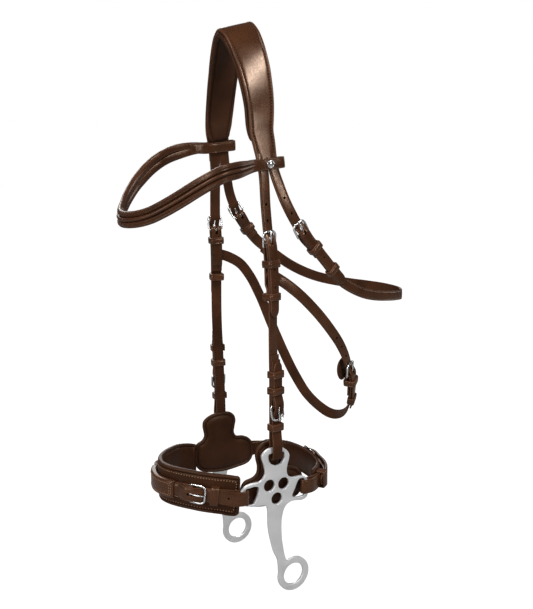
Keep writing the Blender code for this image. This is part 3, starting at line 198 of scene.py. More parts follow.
def steel(name, base, rough, brushed, metal=1.0):
    """Metal with bright ridges; brushed metal has its grain drawn out in z."""
    material, tree, shader = new_material(name)
    coords = object_coords(tree)
    mapping = tree.nodes.new("ShaderNodeMapping")
    mapping.inputs["Scale"].default_value = (1.0, 1.0, 0.06 if brushed else 1.0)
    feed(tree, mapping, {"Vector": coords})
    grain = noise(tree, mapping.outputs["Vector"], scale=2600.0 if brushed else 700.0,
                  detail=3.0)["Fac"]
    patches = noise(tree, coords, scale=45.0)["Fac"]
    colour = ramp(tree, patches, (0.35, scaled(base, 0.9)), (0.65, base))
    ridge = ramp(tree, pointiness(tree), (0.51, 0), (0.58, 1))
    colour = mix(tree, maths(tree, "MULTIPLY", ridge, 0.5), colour, (0.9, 0.9, 0.9))
    feed(tree, shader, {
        "Base Color": colour,
        "Metallic": metal,
        "Roughness": ramp(tree, grain, (0.3, rough * 0.8), (0.7, rough * 1.25)),
        "Normal": bump(tree, grain, strength=0.12 if brushed else 0.04, distance=0.0001)})
    return material


GRAIN = leather("grain_leather", (0.052, 0.0176, 0.0064),
                rough=0.25, grain=0.10, wear=0.3, vary=0.24, spec=0.5)
FLESH = leather("flesh_side", (0.046, 0.0160, 0.0066),
                rough=0.6, grain=0.3, wear=0.1, cell=1500.0, spec=0.15)
EDGE = leather("painted_edge", (0.058, 0.0205, 0.0085),
               rough=0.36, grain=0.1, wear=0.35, cell=1700.0, spec=0.4)
# pad leather: a darker leather of its own, with the base colour lowered further as painted shade for
# pad faces turned away from the lamps
PAD_LEATHER_SHADED = leather("pad_leather_shaded", (0.036, 0.0120, 0.0046),
               rough=0.42, grain=0.12, wear=0.3, cell=1000.0, spec=0.22, vary=0.22)
SMOOTH = leather("smooth_leather", (0.052, 0.0176, 0.0068),
                 rough=0.3, grain=0.02, wear=0.3, cell=1300.0, vary=0.22, spec=0.5)
DARK_THREAD = thread("dark_thread", (0.115, 0.058, 0.034))
# near-black thread for pads, crown lining and chin: real stitches, darkened as painted shade so those
# seams read as a dark groove
SHADE_DARK_THREAD = thread("shade_dark_thread", (0.020, 0.0085, 0.0045))
# near-black strip material: painted shade along seams, for the shadow in the pressed channel
PAINTED_SEAM_SHADE = thread("seam_shadow", (0.0085, 0.0035, 0.0018), spec=0.0)
TAN_THREAD = thread("tan_thread", (0.36, 0.20, 0.115))
PLATE = steel("satin_steel", (0.86, 0.86, 0.865), rough=0.38, brushed=True, metal=0.68)
CHROME = steel("polished_buckle", (0.80, 0.80, 0.79), rough=0.2, brushed=False)
STRAP = [GRAIN, EDGE, FLESH]                    # material indices 0, 1, 2 of a strap

# ---------------------------------------------------------------- meshes
# A mesh is (vertices in mm, faces, material index of each face).


def make_object(name, mesh, mats, mirror=False, angle=None):
    """Links a closed mesh; edges sharper than angle stay sharp, None keeps it flat."""
    verts, faces, index = mesh
    points = np.array(verts, float)
    if mirror:
        points = points * [-1, 1, 1]
    points = (points + SHIFT) * MM
    data = bpy.data.meshes.new(name)
    data.from_pydata([tuple(p) for p in points], [], [tuple(f) for f in faces])
    for material in mats if isinstance(mats, list) else [mats]:
        data.materials.append(material)
    if any(index):
        data.polygons.foreach_set("material_index", np.array(index, np.int32))
    work = bmesh.new()
    work.from_mesh(data)
    bmesh.ops.recalc_face_normals(work, faces=work.faces)
    work.to_mesh(data)
    work.free()
    if angle is not None:
        data.shade_smooth()
        data.set_sharp_from_angle(angle=math.radians(angle))
    ob = bpy.data.objects.new(name, data)
    bpy.context.scene.collection.objects.link(ob)
    return ob


def build(name, mesh, mats=STRAP, mirror=False, node=None, body="headstall", angle=40):
    """A piece that stands for CAD node `node`, or else just rides on `body`."""
    ob = make_object(name, mesh, mats, mirror, angle)
    if node:
        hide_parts(node)
        body = BODY_OF[node]
    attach(ob, body)
    return ob


def rings(sections, closed=False, mats=None, cap=0):
    """Skins equal closed sections; mats gives the material of each side."""
    size, count = len(sections[0]), len(sections)
    verts = np.concatenate([np.array(s, float) for s in sections])
    faces, index = [], []
    for i in range(count if closed else count - 1):
        here, after = i * size, ((i + 1) % count) * size
        for j in range(size):
            k = (j + 1) % size
            faces.append((here + j, here + k, after + k, after + j))
            index.append(mats[j] if mats is not None else 0)
    if not closed:
        faces.append(tuple(range(size)))
        faces.append(tuple(range((count - 1) * size, count * size))[::-1])
        index += [cap, cap]
    return verts, faces, index


def merge(parts):
    verts, faces, index = [], [], []
    for part_verts, part_faces, part_index in parts:
        start = len(verts)
        verts += list(part_verts)
        faces += [tuple(i + start for i in face) for face in part_faces]
        index += part_index
    return verts, faces, index


def unit(vectors):
    return vectors / np.linalg.norm(vectors, axis=-1, keepdims=True)


def run_lengths(points):
    return np.r_[0, np.cumsum(np.linalg.norm(np.diff(points, axis=0), axis=1))]


def smoothstep(value):
    value = np.clip(value, 0, 1)
    return value * value * (3 - 2 * value)


def hermite(stations, per=30):
    """Smooth curve through stations, timed by distance in their first three columns."""
    values = np.array(stations, float)
    time = run_lengths(values[:, :3])
    slope = np.gradient(values, time, axis=0)
    u = np.linspace(0, 1, per, endpoint=False)[:, None]
    out = []
    for i in range(len(values) - 1):
        span = time[i + 1] - time[i]
        out.append((2 * u**3 - 3 * u**2 + 1) * values[i]
                   + (u**3 - 2 * u**2 + u) * span * slope[i]
                   + (-2 * u**3 + 3 * u**2) * values[i + 1]
                   + (u**3 - u**2) * span * slope[i + 1])
    out.append(values[-1:])
    return np.vstack(out)


class Spine:
    """Path of a strap.  Places on it are told as the distance along it, across
    the strap, and out from it along its normal; ends run on straight."""

    def __init__(self, stations):
        curve = hermite(stations)
        self.centres = curve[:, :3]
        self.run = run_lengths(self.centres)
        self.tangents = unit(np.gradient(self.centres, self.run, axis=0))
        normals = curve[:, 3:6]
        lean = np.sum(normals * self.tangents, axis=1, keepdims=True)
        self.normals = unit(normals - lean * self.tangents)
        self.length = self.run[-1]

    def frame(self, along):
        """Centre, tangent, across and outward directions."""
        clipped = np.clip(along, 0, self.length)
        centre, tangent, normal = (
            np.stack([np.interp(clipped, self.run, table[:, i]) for i in range(3)], -1)
            for table in (self.centres, self.tangents, self.normals))
        tangent = unit(tangent)
        normal = unit(normal - np.sum(normal * tangent, -1, keepdims=True) * tangent)
        centre = centre + np.expand_dims(along - clipped, -1) * tangent
        return centre, tangent, np.cross(normal, tangent), normal

    def points(self, along, across, out):
        centre, _, sideways, normal = self.frame(along)
        return centre + np.expand_dims(across, -1) * sideways + np.expand_dims(out, -1) * normal

    def row(self, along, across, out, side=1):
        """Points of a stitch line and their normals, facing out or (side -1) in."""
        line = self.points(along, across, out)
        return line, self.points(along, across, out + side) - line

    def near(self, point):
        distance = np.linalg.norm(self.centres - np.array(point, float), axis=1)
        return float(self.run[int(np.argmin(distance))])


def stations_between(start, end):
    return np.linspace(start, end, int((end - start) / 3))


def smooth_path(path, iters):
    """Rounds the corners of an (along, out) path and keeps points where it bends."""
    corners = np.array(path, float)
    run = run_lengths(corners)
    even = np.linspace(0, run[-1], int(run[-1] / 0.7) + 1)
    points = np.stack([np.interp(even, run, corners[:, i]) for i in (0, 1)], 1)
    for _ in range(iters):
        points[1:-1] = 0.5 * points[1:-1] + 0.25 * (points[:-2] + points[2:])
    steps = np.diff(points, axis=0)
    heading = unit(steps)
    turns = np.degrees(np.arccos(np.clip(np.sum(heading[1:] * heading[:-1], 1), -1, 1)))
    lengths = np.linalg.norm(steps, axis=1)
    total = lengths.sum()
    kept, turned, gone, travelled = [0], 0.0, 0.0, 0.0
    for i in range(1, len(points) - 1):
        turned += turns[i - 1]
        gone += lengths[i - 1]
        travelled += lengths[i - 1]
        near_end = min(travelled, total - travelled) < 11
        if turned > 9.0 or gone > (0.9 if near_end else 2.6):
            kept.append(i)
            turned = gone = 0.0
    kept.append(len(points) - 1)
    points = points[kept]
    heading = unit(np.diff(points, axis=0))
    side = np.stack([-heading[:, 1], heading[:, 0]], 1)
    normals = np.vstack([side[:1], unit(side[:-1] + side[1:]), side[-1:]])
    return points, normals, run_lengths(points)


def both_edges(side, middle, under):
    """Closed profile from one outer edge, its mirror image and an underside."""
    outline = side + [(0.0, middle, 0)] + [(-w, n, m) for w, n, m in side[::-1]] + under
    across, out, mats = zip(*outline)
    return np.array(across), np.array(out), mats


def strap_profile(half, thick, crease):
    """Section (across, out, material) with soft edges and a pressed line near each."""
    soft = min(0.9, thick * 0.35)
    press = 0.17 if crease else 0.0
    top = thick / 2
    side = [(-half, 0.0, 1), (-half + 0.12, top - soft * 0.75, 1), (-half + 0.45, top - 0.12, 1),
            (-half + 0.85, top, 0), (-half + 1.35, top + 0.02, 0), (-half + 1.65, top - press, 0),
            (-half + 1.95, top + 0.03, 0), (-half * 0.5, top + 0.13, 0)]
    under = [(half - 0.12, -top + soft * 0.6, 1), (half - 0.6, -top, 2), (0, -top - 0.03, 2),
             (-half + 0.6, -top, 1), (-half + 0.12, -top + soft * 0.6, 1)]
    return both_edges(side, top + 0.17, under)


def strap(name, spine, path, half, thick, cuts=(), tip=0.0, crease=True, iters=3,
          mirror=False, node=None, body="headstall"):
    """A strap laid along an (along, out) path; tip rounds the last stretch."""
    points, normals, run = smooth_path(path, iters)
    across, out, mats = strap_profile(half, thick, crease)
    sections = []
    for (p_along, p_out), (n_along, n_out), gone in zip(points, normals, run):
        left = run[-1] - gone
        narrow = 1.0
        if left < tip:
            narrow = max(0.10, (1 - (1 - left / tip) ** 2) ** 0.5)
        lift = out * (1.0 - 0.25 * (1 - narrow))
        sections.append(spine.points(p_along + n_along * lift, across * narrow,
                                     p_out + n_out * lift))
    ob = build(name, rings(sections, mats=mats, cap=1), mirror=mirror, node=node, body=body)
    if cuts:
        cut(ob, cuts, mirror)
    return ob


def arc(along, out, radius, way, start, end, count=12):
    return [(along + way * radius * math.cos(math.radians(a)),
             out + radius * math.sin(math.radians(a))) for a in np.linspace(start, end, count)]


def fold(bar, out, radius, way, count=12):
    """Path round a bar, from the leg below it to the leg above it."""
    return [(bar - way * 3, out - radius)] + arc(bar, out, radius, way, -90, 90, count) \
        + [(bar - way * 3, out + radius)]


def folded_end(bar, way, end):
    """Strap end turned under its buckle bar, `end` long."""
    under = -2 * BAR_DROP
    return [(bar - way * end, under + 2.5), (bar - way * 14, under + 2.5),
            (bar - way * 7, under + 0.4)] + fold(bar, -BAR_DROP, BAR_DROP, way)


def over_buckle(bar, start, tip):
    """Strap that dips under the far end of a buckle frame and rides over its bar."""
    return [(start, 0.0), (bar - (BUCKLE_L + 5), DIP * 0.95), (bar - (BUCKLE_L - 2.5), DIP),
            (bar - 10, 0.2), (bar - 3, OVER), (bar + 3, OVER), (bar + 14, OVER), (tip, OVER)]


def wire(line, ref, radius, count=12, closed=False, taper=None):
    """Round wire along a line; ref points to the side where each section starts."""
    line = np.array(line, float)
    if closed:
        tangents = unit(np.roll(line, -1, 0) - np.roll(line, 1, 0))
    else:
        tangents = unit(np.gradient(line, axis=0))
    first = unit(ref - np.sum(ref * tangents, axis=1, keepdims=True) * tangents)
    second = np.cross(tangents, first)
    if taper is None:
        taper = np.ones(len(line))
    turn = (np.arange(count) * 2 * math.pi / count)[:, None]
    return rings([p + radius * t * (np.cos(turn) * a + np.sin(turn) * b)
                  for p, a, b, t in zip(line, first, second, taper)], closed)


def prism(spine, outline, low, high):
    """Block on an (along, across) outline."""
    size = len(outline)
    along, across = np.array(outline, float).T
    verts = np.vstack([spine.points(along, across, out) for out in (low, high)])
    faces = [tuple(range(size))[::-1], tuple(range(size, 2 * size))]
    for j in range(size):
        k = (j + 1) % size
        faces.append((j, k, size + k, size + j))
    return verts, faces, [0] * len(faces)


def box(spine, start, end, half, low, high):
    outline = [(start, -half), (end, -half), (end, half), (start, half)]
    return prism(spine, outline, low, high)


def hole(spine, along, out, radius, stretch=0.0, depth=2.6):
    """Round punch, or an oblong one `stretch` longer each way."""
    outline = []
    for i in range(16):
        turn = (i + 0.5) * 2 * math.pi / 16
        cos = math.cos(turn)
        shift = stretch if cos > 0 else -stretch
        outline.append((along + radius * cos + shift, radius * math.sin(turn)))
    return prism(spine, outline, out - depth, out + depth)


def tongue_slot(spine, bar, way, out):
    """Opening for the tongue where a strap folds round its bar."""
    low, high = sorted((bar - way * 6.0, bar + way * 6.5))
    return box(spine, low, high, 1.7, out - 4.6, out + 4.6)


def cut(ob, parts, mirror=False):
    """Punched openings; their walls take the edge colour."""
    cutter = make_object(ob.name + "_punch", merge(parts), EDGE, mirror)
    punch = ob.modifiers.new("punch", "BOOLEAN")
    punch.operation = "DIFFERENCE"
    punch.solver = "EXACT"
    punch.object = cutter
    graph = bpy.context.evaluated_depsgraph_get()
    data = bpy.data.meshes.new_from_object(ob.evaluated_get(graph),
                                           preserve_all_data_layers=True, depsgraph=graph)
    ob.modifiers.clear()
    old = ob.data
    ob.data = data
    bpy.data.objects.remove(cutter, do_unlink=True)
    bpy.data.meshes.remove(old)
    data.set_sharp_from_angle(angle=math.radians(40))


def seam(name, rows, width, body="headstall", mirror=False):
    """A thin near-black strip let into the face along a seam: painted shade for the shadow in its
    pressed channel.
    """
    profile = ((-0.5, 0.02), (0, 0.07), (0.5, 0.02), (0.4, -0.22), (-0.4, -0.22))
    parts = []
    for line, normals in rows:
        normals = unit(normals)
        sideways = unit(np.cross(normals, np.gradient(line, axis=0)))
        parts.append(rings([[p + w * width * a + n * b for a, b in profile]
                            for p, w, n in zip(line, sideways, normals)]))
    build(name, merge(parts), PAINTED_SEAM_SHADE, mirror=mirror, body=body)


def stitches(name, rows, mat, radius, pitch=3.0, length=2.0, shade_strip=1.25,
             body="headstall", mirror=False):
    """Rows of (line, normals), sewn with small sunk beads of thread over a near-black strip of
    painted shade along each seam.
    """
    # the dark strip under each row is painted shade, not a real coloured part
    seam(name + "_channel", rows, shade_strip, body, mirror)
    # along the stitch, share of the radius, height
    bead = ((0, 0.35, -0.22), (0.2, 0.95, 0.0), (0.5, 1.0, 0.06), (0.8, 0.95, 0.0),
            (1, 0.35, -0.22))
    turns = np.arange(6) * 2 * math.pi / 6
    parts = []
    for line, normals in rows:
        run = run_lengths(line)
        count = int(run[-1] / pitch)
        for i in range(count):
            middle = (i + 0.5) * run[-1] / count
            start, end = (np.array([np.interp(middle + e * length / 2, run, line[:, c])
                                    for c in range(3)]) for e in (-1, 1))
            normal = unit(np.array([np.interp(middle, run, normals[:, c]) for c in range(3)]))
            sideways = np.cross(normal, unit(end - start))
            sections = []
            for share, size, rise in bead:
                centre = start + (end - start) * share + normal * (rise + 0.08)
                sections.append([centre + radius * size
                                 * (math.cos(q) * sideways + math.sin(q) * normal)
                                 for q in turns])
            parts.append(rings(sections))
    build(name, merge(parts), mat, mirror=mirror, body=body)


# ---------------------------------------------------------------- hardware


def buckle(tag, spine, bar, way, out, half, mirror=False, rise=3.7):
    """Wire frame from its bar to a rounded far end, way along the spine, with tongue."""
    half_frame = half + 0.6 + WIRE
    end = bar + way * BUCKLE_L
    near_r, far_r = 1.8, 5.6
    corners = []
    for base, inward, edge, radius, start, count in (
            (bar, 1, -half_frame, near_r, 180, 6), (end, -1, -half_frame, far_r, 270, 10),
            (end, -1, half_frame, far_r, 0, 10), (bar, 1, half_frame, near_r, 90, 6)):
        for a in np.linspace(start, start + 90, count):
            corners.append((
                base + inward * way * radius + way * radius * math.cos(math.radians(a)),
                (edge + radius if edge < 0 else edge - radius)
                + radius * math.sin(math.radians(a))))
    # even out the long straight sides
    loop = []
    for i, p in enumerate(corners):
        q = corners[(i + 1) % len(corners)]
        count = max(1, int(math.hypot(q[0] - p[0], q[1] - p[1]) / 2.2))
        loop += [(p[0] + (q[0] - p[0]) * j / count, p[1] + (q[1] - p[1]) * j / count)
                 for j in range(count)]
    along, across = np.array(loop).T
    height = out + rise * np.abs(along - bar) / BUCKLE_L
    line, ref = spine.row(along, across, height)
    build("frame_" + tag, wire(line, ref, WIRE * 1.03, 14, closed=True), CHROME,
          mirror=mirror, node=tag + "_buckle_frame")
    hook = WIRE + 0.25 + TONGUE
    top = out + rise + WIRE + TONGUE
    path = arc(bar, out, hook, way, -65, -270)
    path += [(bar + way * 3.2, out + hook + 0.9), (bar + way * 6.5, out + hook + 2.1),
             (end - way * 4, top + 0.55), (end + way * 0.9, top + 0.35)]
    curve = hermite([(a, b, 0.0) for a, b in path], per=4)
    line = spine.points(curve[:, 0], 0.0, curve[:, 1])
    ref = spine.points(curve[:, 0], 1.0, curve[:, 1]) - line
    count = len(line)
    taper = [min(1.0, 0.55 + 0.09 * min(j, count - 1 - j)) if j > count - 8 or j < 3 else 1.0
             for j in range(count)]
    build("tongue_" + tag, wire(line, ref, TONGUE * 1.03, taper=taper), CHROME,
          mirror=mirror, node=tag + "_buckle_tongue")


def round_rect(half, low, high, per=5):
    """Points and normals of a rounded rectangle in (across, out)."""
    radius = 0.9
    points, normals = [], []
    for across, out, start in ((half - radius, high - radius, 0), (-half + radius, high - radius, 90),
                               (-half + radius, low + radius, 180),
                               (half - radius, low + radius, 270)):
        for a in np.linspace(start, start + 90, per):
            cos, sin = math.cos(math.radians(a)), math.sin(math.radians(a))
            points.append((across + radius * cos, out + radius * sin))
            normals.append((cos, sin))
    return np.array(points), np.array(normals)


def keeper(name, spine, along, half, low, high, mirror=False, arch=False, cad=True):
    """Leather loop with pressed lines near both rims, as a ring or an arch."""
    half = half + 0.5
    points, normals = round_rect(half, low - 0.35, high + 0.35)
    if arch:
        points = np.vstack([[(half, low)], points[:10], [(-half, low)]])
        normals = np.vstack([[(1, 0)], normals[:10], [(-1, 0)]])
    end, thick = KEEPER_L / 2, KEEPER_T
    # along the spine, height, material
    profile = [(-end, 0.0, 1), (-end, thick * 0.55, 1), (-end + 0.35, thick * 0.9, 1),
               (-end + 0.9, thick, 0), (-end + 1.5, thick + 0.02, 0), (-end + 1.8, thick - 0.22, 0),
               (-end + 2.1, thick, 0), (0, thick + 0.072, 0), (end - 2.1, thick, 0),
               (end - 1.8, thick - 0.22, 0), (end - 1.5, thick + 0.02, 0), (end - 0.9, thick, 1),
               (end - 0.35, thick * 0.9, 1), (end, thick * 0.55, 1), (end, 0.0, 2), (0, 0.0, 2)]
    shift, height, mats = zip(*profile)
    shift, height = np.array(shift), np.array(height)
    sections = [spine.points(along + shift, w + cw * height, n + cn * height)
                for (w, n), (cw, cn) in zip(points, normals)]
    ob = build("loop_" + name, rings(sections, closed=not arch, mats=mats, cap=1),
               mirror=mirror, node=name if cad else None)


# ---------------------------------------------------------------- paths
# Stations are (x, y, z, normal x, normal y, normal z).


def opposite(stations):
    """The same stations mirrored in x and told from the other end."""
    return [(-x, y, z, -nx, ny, nz) for x, y, z, nx, ny, nz in stations[::-1]]


HALF_CROWN = [
    (58, -6.3, 391, 1, 0, 0), (56, -8, 405, 1, 0, 0), (54.8, -10.2, 418, 1, 0, 0),
    (54, -10, 431, 1, 0, .02), (52, -9.5, 445, 1, -.02, .1), (48.5, -9.6, 460, 1, -.08, .25),
    (44.5, -10, 473, .9, -.12, .4), (39, -10.7, 488, .82, -.18, .5), (33, -12, 501, .75, -.24, .65),
    (25.5, -13, 514, .6, -.25, .8), (15, -14, 526.5, .4, -.25, .9)]
CROWN = Spine(HALF_CROWN + [(0, -14.6, 534, 0, -.25, .97)] + opposite(HALF_CROWN))

# (x, y, z, turn of the normal from +X towards +Y in degrees), down the cheek
CHEEK_STATIONS = [
    (58, -12.8, 391, 0), (60.4, -10.6, 373, 1), (64.5, -9.6, 336, 5), (68.3, -8, 304, 7),
    (69.8, -5.9, 280, 10), (70.5, -5.2, 259, 14), (71.2, -5, 230, 16), (71.5, -5, 189, 16),
    (71.2, -4.5, 165, 15), (70.7, -3.7, 144, 13), (70.2, -3.2, 122, 12), (69.7, -2.7, 105, 10),
    (69.2, -2.2, 86, 7), (68.8, -1.8, 68, 3), (68.6, -1.5, 50, 0), (68.6, -1.5, 30, 0)]
CHEEK = Spine([(x, y, z, math.cos(math.radians(a)), math.sin(math.radians(a)), 0.0)
               for x, y, z, a in CHEEK_STATIONS])

NEAR_THROAT = [
    (58, 0.4, 391, 1, 0, 0), (60.5, 3.4, 373, 1, 0, 0), (64, 8, 357, 1, -.05, 0),
    (67, 13, 342.5, 1, -.05, 0), (69, 20, 328, 1, -.05, 0), (69.8, 28, 315, 1, 0, 0),
    (69.8, 35.5, 305, 1, .05, 0), (69, 44, 294, 1, .1, 0), (68, 53, 285, 1, .1, 0),
    (66.3, 66, 271.5, 1, .12, 0), (64.3, 80, 257, 1, .15, 0), (61.5, 97, 241, 1, .15, 0),
    (58, 116, 230, 1, .2, 0), (53.5, 138, 221, 1, .25, 0), (47.5, 160, 215.5, 1, .3, 0),
    (40.5, 182, 212, 1, .4, 0), (31, 204, 209, .9, .6, 0), (17.5, 224, 207, .6, .9, 0)]
FAR_THROAT = [
    (58, 0.4, 391, 1, 0, 0), (60.5, 3.4, 373, 1, 0, 0), (64, 7.6, 357, 1, -.05, 0),
    (67, 12, 342, 1, -.05, 0), (69, 18.5, 327, 1, -.05, 0), (69.8, 27, 314, 1, 0, 0),
    (69.8, 35.5, 302, 1, .05, 0), (69, 44, 290.5, 1, .1, 0), (68, 53, 280.5, 1, .1, 0),
    (66.3, 66, 269.5, 1, .12, 0), (64.3, 80, 259, 1, .15, 0), (61.5, 97, 247, 1, .15, 0),
    (58, 116, 236.5, 1, .2, 0), (53.5, 138, 227.5, 1, .25, 0), (47.5, 160, 221.5, 1, .3, 0),
    (40.5, 182, 217, 1, .4, 0), (31, 204, 213.5, .9, .6, 0), (17.5, 224, 210, .6, .9, 0)]
THROAT_STATIONS = NEAR_THROAT + [(0, 232, 207.5, 0, 1, 0)] + opposite(FAR_THROAT)
THROAT = Spine(THROAT_STATIONS)

JAW = Spine([
    (67.8, -6.5, 259.2, .97, .24, 0), (66.95, -3, 257.2, .97, .24, 0), (65, 5, 252.6, .97, .24, 0),
    (66.4, 14, 246.5, 1, .05, 0), (69.3, 28, 235.3, 1, .05, 0), (70, 53, 212, 1, .05, 0),
    (69, 77, 185.5, 1, .1, 0), (66.5, 96, 161, 1, .2, 0), (63, 110, 135.5, .9, .5, -.1),
    (58, 117, 116.5, .8, .7, -.3), (52.5, 121, 99, .7, .8, -.4), (46, 123.5, 82, .6, .8, -.5),
    (36, 124.5, 67, .4, .85, -.6), (20, 124, 57.5, .1, .85, -.6), (2, 122, 55, -.1, .85, -.5),
    (-15, 117, 60.5, -.3, .85, -.4), (-30, 108, 74, -.6, .75, -.3), (-42, 97, 98, -.8, .5, -.2),
    (-52, 83, 133, -.95, .3, -.1), (-60, 70, 169, -1, .15, 0), (-66, 54, 211, -1, .05, 0),
    (-68.5, 42, 234.5, -1, .05, 0), (-69, 29, 250.5, -1, .05, 0), (-66.2, 14, 259.5, -1, .05, 0),
    (-64.8, 5, 263.3, -.975, .22, 0), (-66.65, -3, 265.8, -.975, .22, 0),
    (-67.45, -6.5, 266.8, -.975, .22, 0)])

HALF_NOSE = [
    (65, -34, -1.3, 1, 0, 0), (65, -41, -1.2, 1, 0, 0), (65, -47.5, -1, 1, 0, 0),
    (63.6, -54, -.3, .97, -.22, 0), (60.6, -61, 1.5, .93, -.36, 0), (54.6, -73, 3.5, .85, -.53, 0),
    (46.5, -84.5, 5, .78, -.63, 0), (37, -95, 6.5, .65, -.76, 0), (25.5, -105, 7.5, .48, -.88, 0),
    (13, -112, 8, .25, -.97, 0)]
NOSE = Spine(HALF_NOSE + [(0, -114.6, 8, 0, -1, 0)] + opposite(HALF_NOSE))

HALF_CHIN = [
    (64.5, 30, -4, 1, 0, 0), (64.5, 37, -4, 1, 0, 0), (64.5, 44, -4, 1, 0, 0),
    (63, 53.5, -4, .97, .22, 0), (58.5, 63, -3.5, .85, .5, 0), (50.5, 72.5, -3, .7, .7, 0),
    (38, 79.5, -2, .4, .9, 0), (20, 83.8, -1.3, .18, .98, 0)]
CHIN = Spine(HALF_CHIN + [(0, 85, -1, 0, 1, 0)] + opposite(HALF_CHIN))

NEAR_BROW = [
    (63.0, 14, 383.5, 1, 0, 0), (63.2, 0, 382, 1, -.02, 0), (63.5, -18, 380.3, 1, .1, 0),
    (71.5, -39, 378, .95, .4, 0), (79.8, -57, 375.5, 1, .15, 0), (83.6, -71, 373, 1, -.15, 0),
    (82.6, -82, 368.5, .95, -.3, 0), (79.3, -92, 363, .9, -.4, 0),
    (74.5, -102, 356.5, .85, -.5, 0), (68.8, -111.5, 349.5, .78, -.62, 0),
    (61.3, -120.5, 342.5, .7, -.7, 0), (52, -129.5, 335.5, .62, -.78, 0),
    (40.5, -138, 329, .5, -.86, 0), (27, -146.5, 324.5, .35, -.93, 0),
    (13, -152, 322.5, .15, -.98, 0)]
# the far end rides higher on the crown piece than the near end
FAR_BROW = [
    (60.75, 12.8, 402, 1, 0, .13), (60.85, -1.2, 400.7, 1, -.02, .13),
    (61.2, -19.5, 398.8, 1, .1, .12), (69.5, -39.5, 397, .95, .4, .06), (79, -57, 392, 1, .15, 0),
    (83.4, -71, 385.2, 1, -.15, 0), (82.6, -82, 378.5, .95, -.3, 0), (79.3, -92, 371.6, .9, -.4, 0),
    (74.5, -102, 363.8, .85, -.5, 0), (68.8, -111.5, 356, .78, -.62, 0),
    (61.3, -120.5, 347.9, .7, -.7, 0), (52, -129.5, 339.7, .62, -.78, 0),
    (40.5, -138, 332, .5, -.86, 0), (27, -146.5, 326.3, .35, -.93, 0),
    (13, -152, 323.2, .15, -.98, 0)]
BROW_STATIONS = NEAR_BROW + [(0, -153.5, 322, 0, -1, 0)] + opposite(FAR_BROW)
BROW = Spine(BROW_STATIONS)
BROW_FROM_FAR = Spine(opposite(BROW_STATIONS))

# Buckle bars and tips along the paths, keyed by mirror.  The far straps are
# buckled higher.
UPPER_NEAR = CHEEK.near((68.7, -7, 290.5))
UPPER_BAR = {False: UPPER_NEAR, True: UPPER_NEAR - 7.5}
UPPER_TIP = CHEEK.near((71.4, -5, 210))
THROAT_FROM = {False: THROAT, True: Spine(opposite(THROAT_STATIONS))}
THROAT_NEAR = THROAT.near((69.6, 38, 301))
THROAT_BAR = {False: THROAT_NEAR, True: THROAT_FROM[True].near((69.8, 27, 314))}
THROAT_NEAR_TIP = THROAT.near((61.5, 97, 238))
THROAT_TIP = {False: THROAT_NEAR_TIP, True: THROAT_BAR[True] + THROAT_NEAR_TIP - THROAT_NEAR}

# ---------------------------------------------------------------- crown piece
CROWN_MID = CROWN.length / 2
CROWN_START, CROWN_END = -7.0, CROWN.length + 7.0


def crown_half(along, ends, gain):
    """Half width: `ends` at the ends and `gain` wider in the middle."""
    out = np.minimum(1.0, abs(along - CROWN_MID) / CROWN_MID)
    return ends + gain * (1 - out) ** 0.85


def leather_half(along):
    return crown_half(along, 13.3, 8.2)


def crown_strap():
    stations = np.r_[np.linspace(CROWN_START, 4, 7),
                     np.linspace(4, CROWN.length - 4, 130)[1:-1],
                     np.linspace(CROWN.length - 4, CROWN_END, 7)]
    sections = []
    for s in stations:
        out = min(1.0, abs(s - CROWN_MID) / CROWN_MID)
        thick = CROWN_T - (CROWN_T - STRAP_T - 0.1) * min(1.0, max(0.0, (out - 0.93) / 0.06))
        half, top = leather_half(s), thick / 2
        side = [(-half, 0.0, 1), (-half + 0.15, top - 0.5, 1), (-half + 0.6, top + 0.1, 1),
                (-half + 1.4, top + 0.38, 1), (-half + 2.4, top + 0.36, 0),
                (-half + 3.2, top + 0.08, 0), (-half + 3.7, top - 0.24, 0),
                (-half + 4.3, top - 0.1, 0), (-half + 5.2, top + 0.12, 0),
                (-half * 0.6, top + 0.2, 0), (-half * 0.3, top + 0.3, 0)]
        under = [(half - 0.15, -top + 0.5, 1), (half - 0.7, -top, 2), (0, -top, 2),
                 (-half + 0.7, -top, 1), (-half + 0.15, -top + 0.5, 1)]
        across, height, mats = both_edges(side, top + 0.32, under)
        sections.append(CROWN.points(s, across, height))
    crown = build("headpiece_crown", rings(sections, mats=mats, cap=1), node="headpiece", angle=50)
    # a hole near each end, and a slit from it to the end
    cut(crown, [hole(CROWN, s, 0, 1.4, depth=4) for s in (CROWN_START + 3.5, CROWN_END - 3.5)])
    cut(crown, [box(CROWN, s - 3, s + 3, 0.3, -4, 4) for s in (CROWN_START - 0.2, CROWN_END + 0.2)])
    along = np.linspace(6, CROWN.length - 6, 180)
    rows = [CROWN.row(along, sign * (leather_half(along) - 3.75), CROWN_T / 2 - 0.06)
            for sign in (-1, 1)]
    stitches("headpiece_crown_stitching", rows, DARK_THREAD, radius=0.58, pitch=3.3, length=1.8,
             shade_strip=1.35)


def tail(name, spine, bar, tip, punches, mirror):
    """One branch of the headpiece, down to and over its buckle."""
    punches = punches + [hole(spine, bar - 5.6, 1.0, 1.6, stretch=3.8, depth=5.5)]
    strap(name, spine, over_buckle(bar, -1.5, tip), HALF, STRAP_T, punches, tip=9, mirror=mirror)


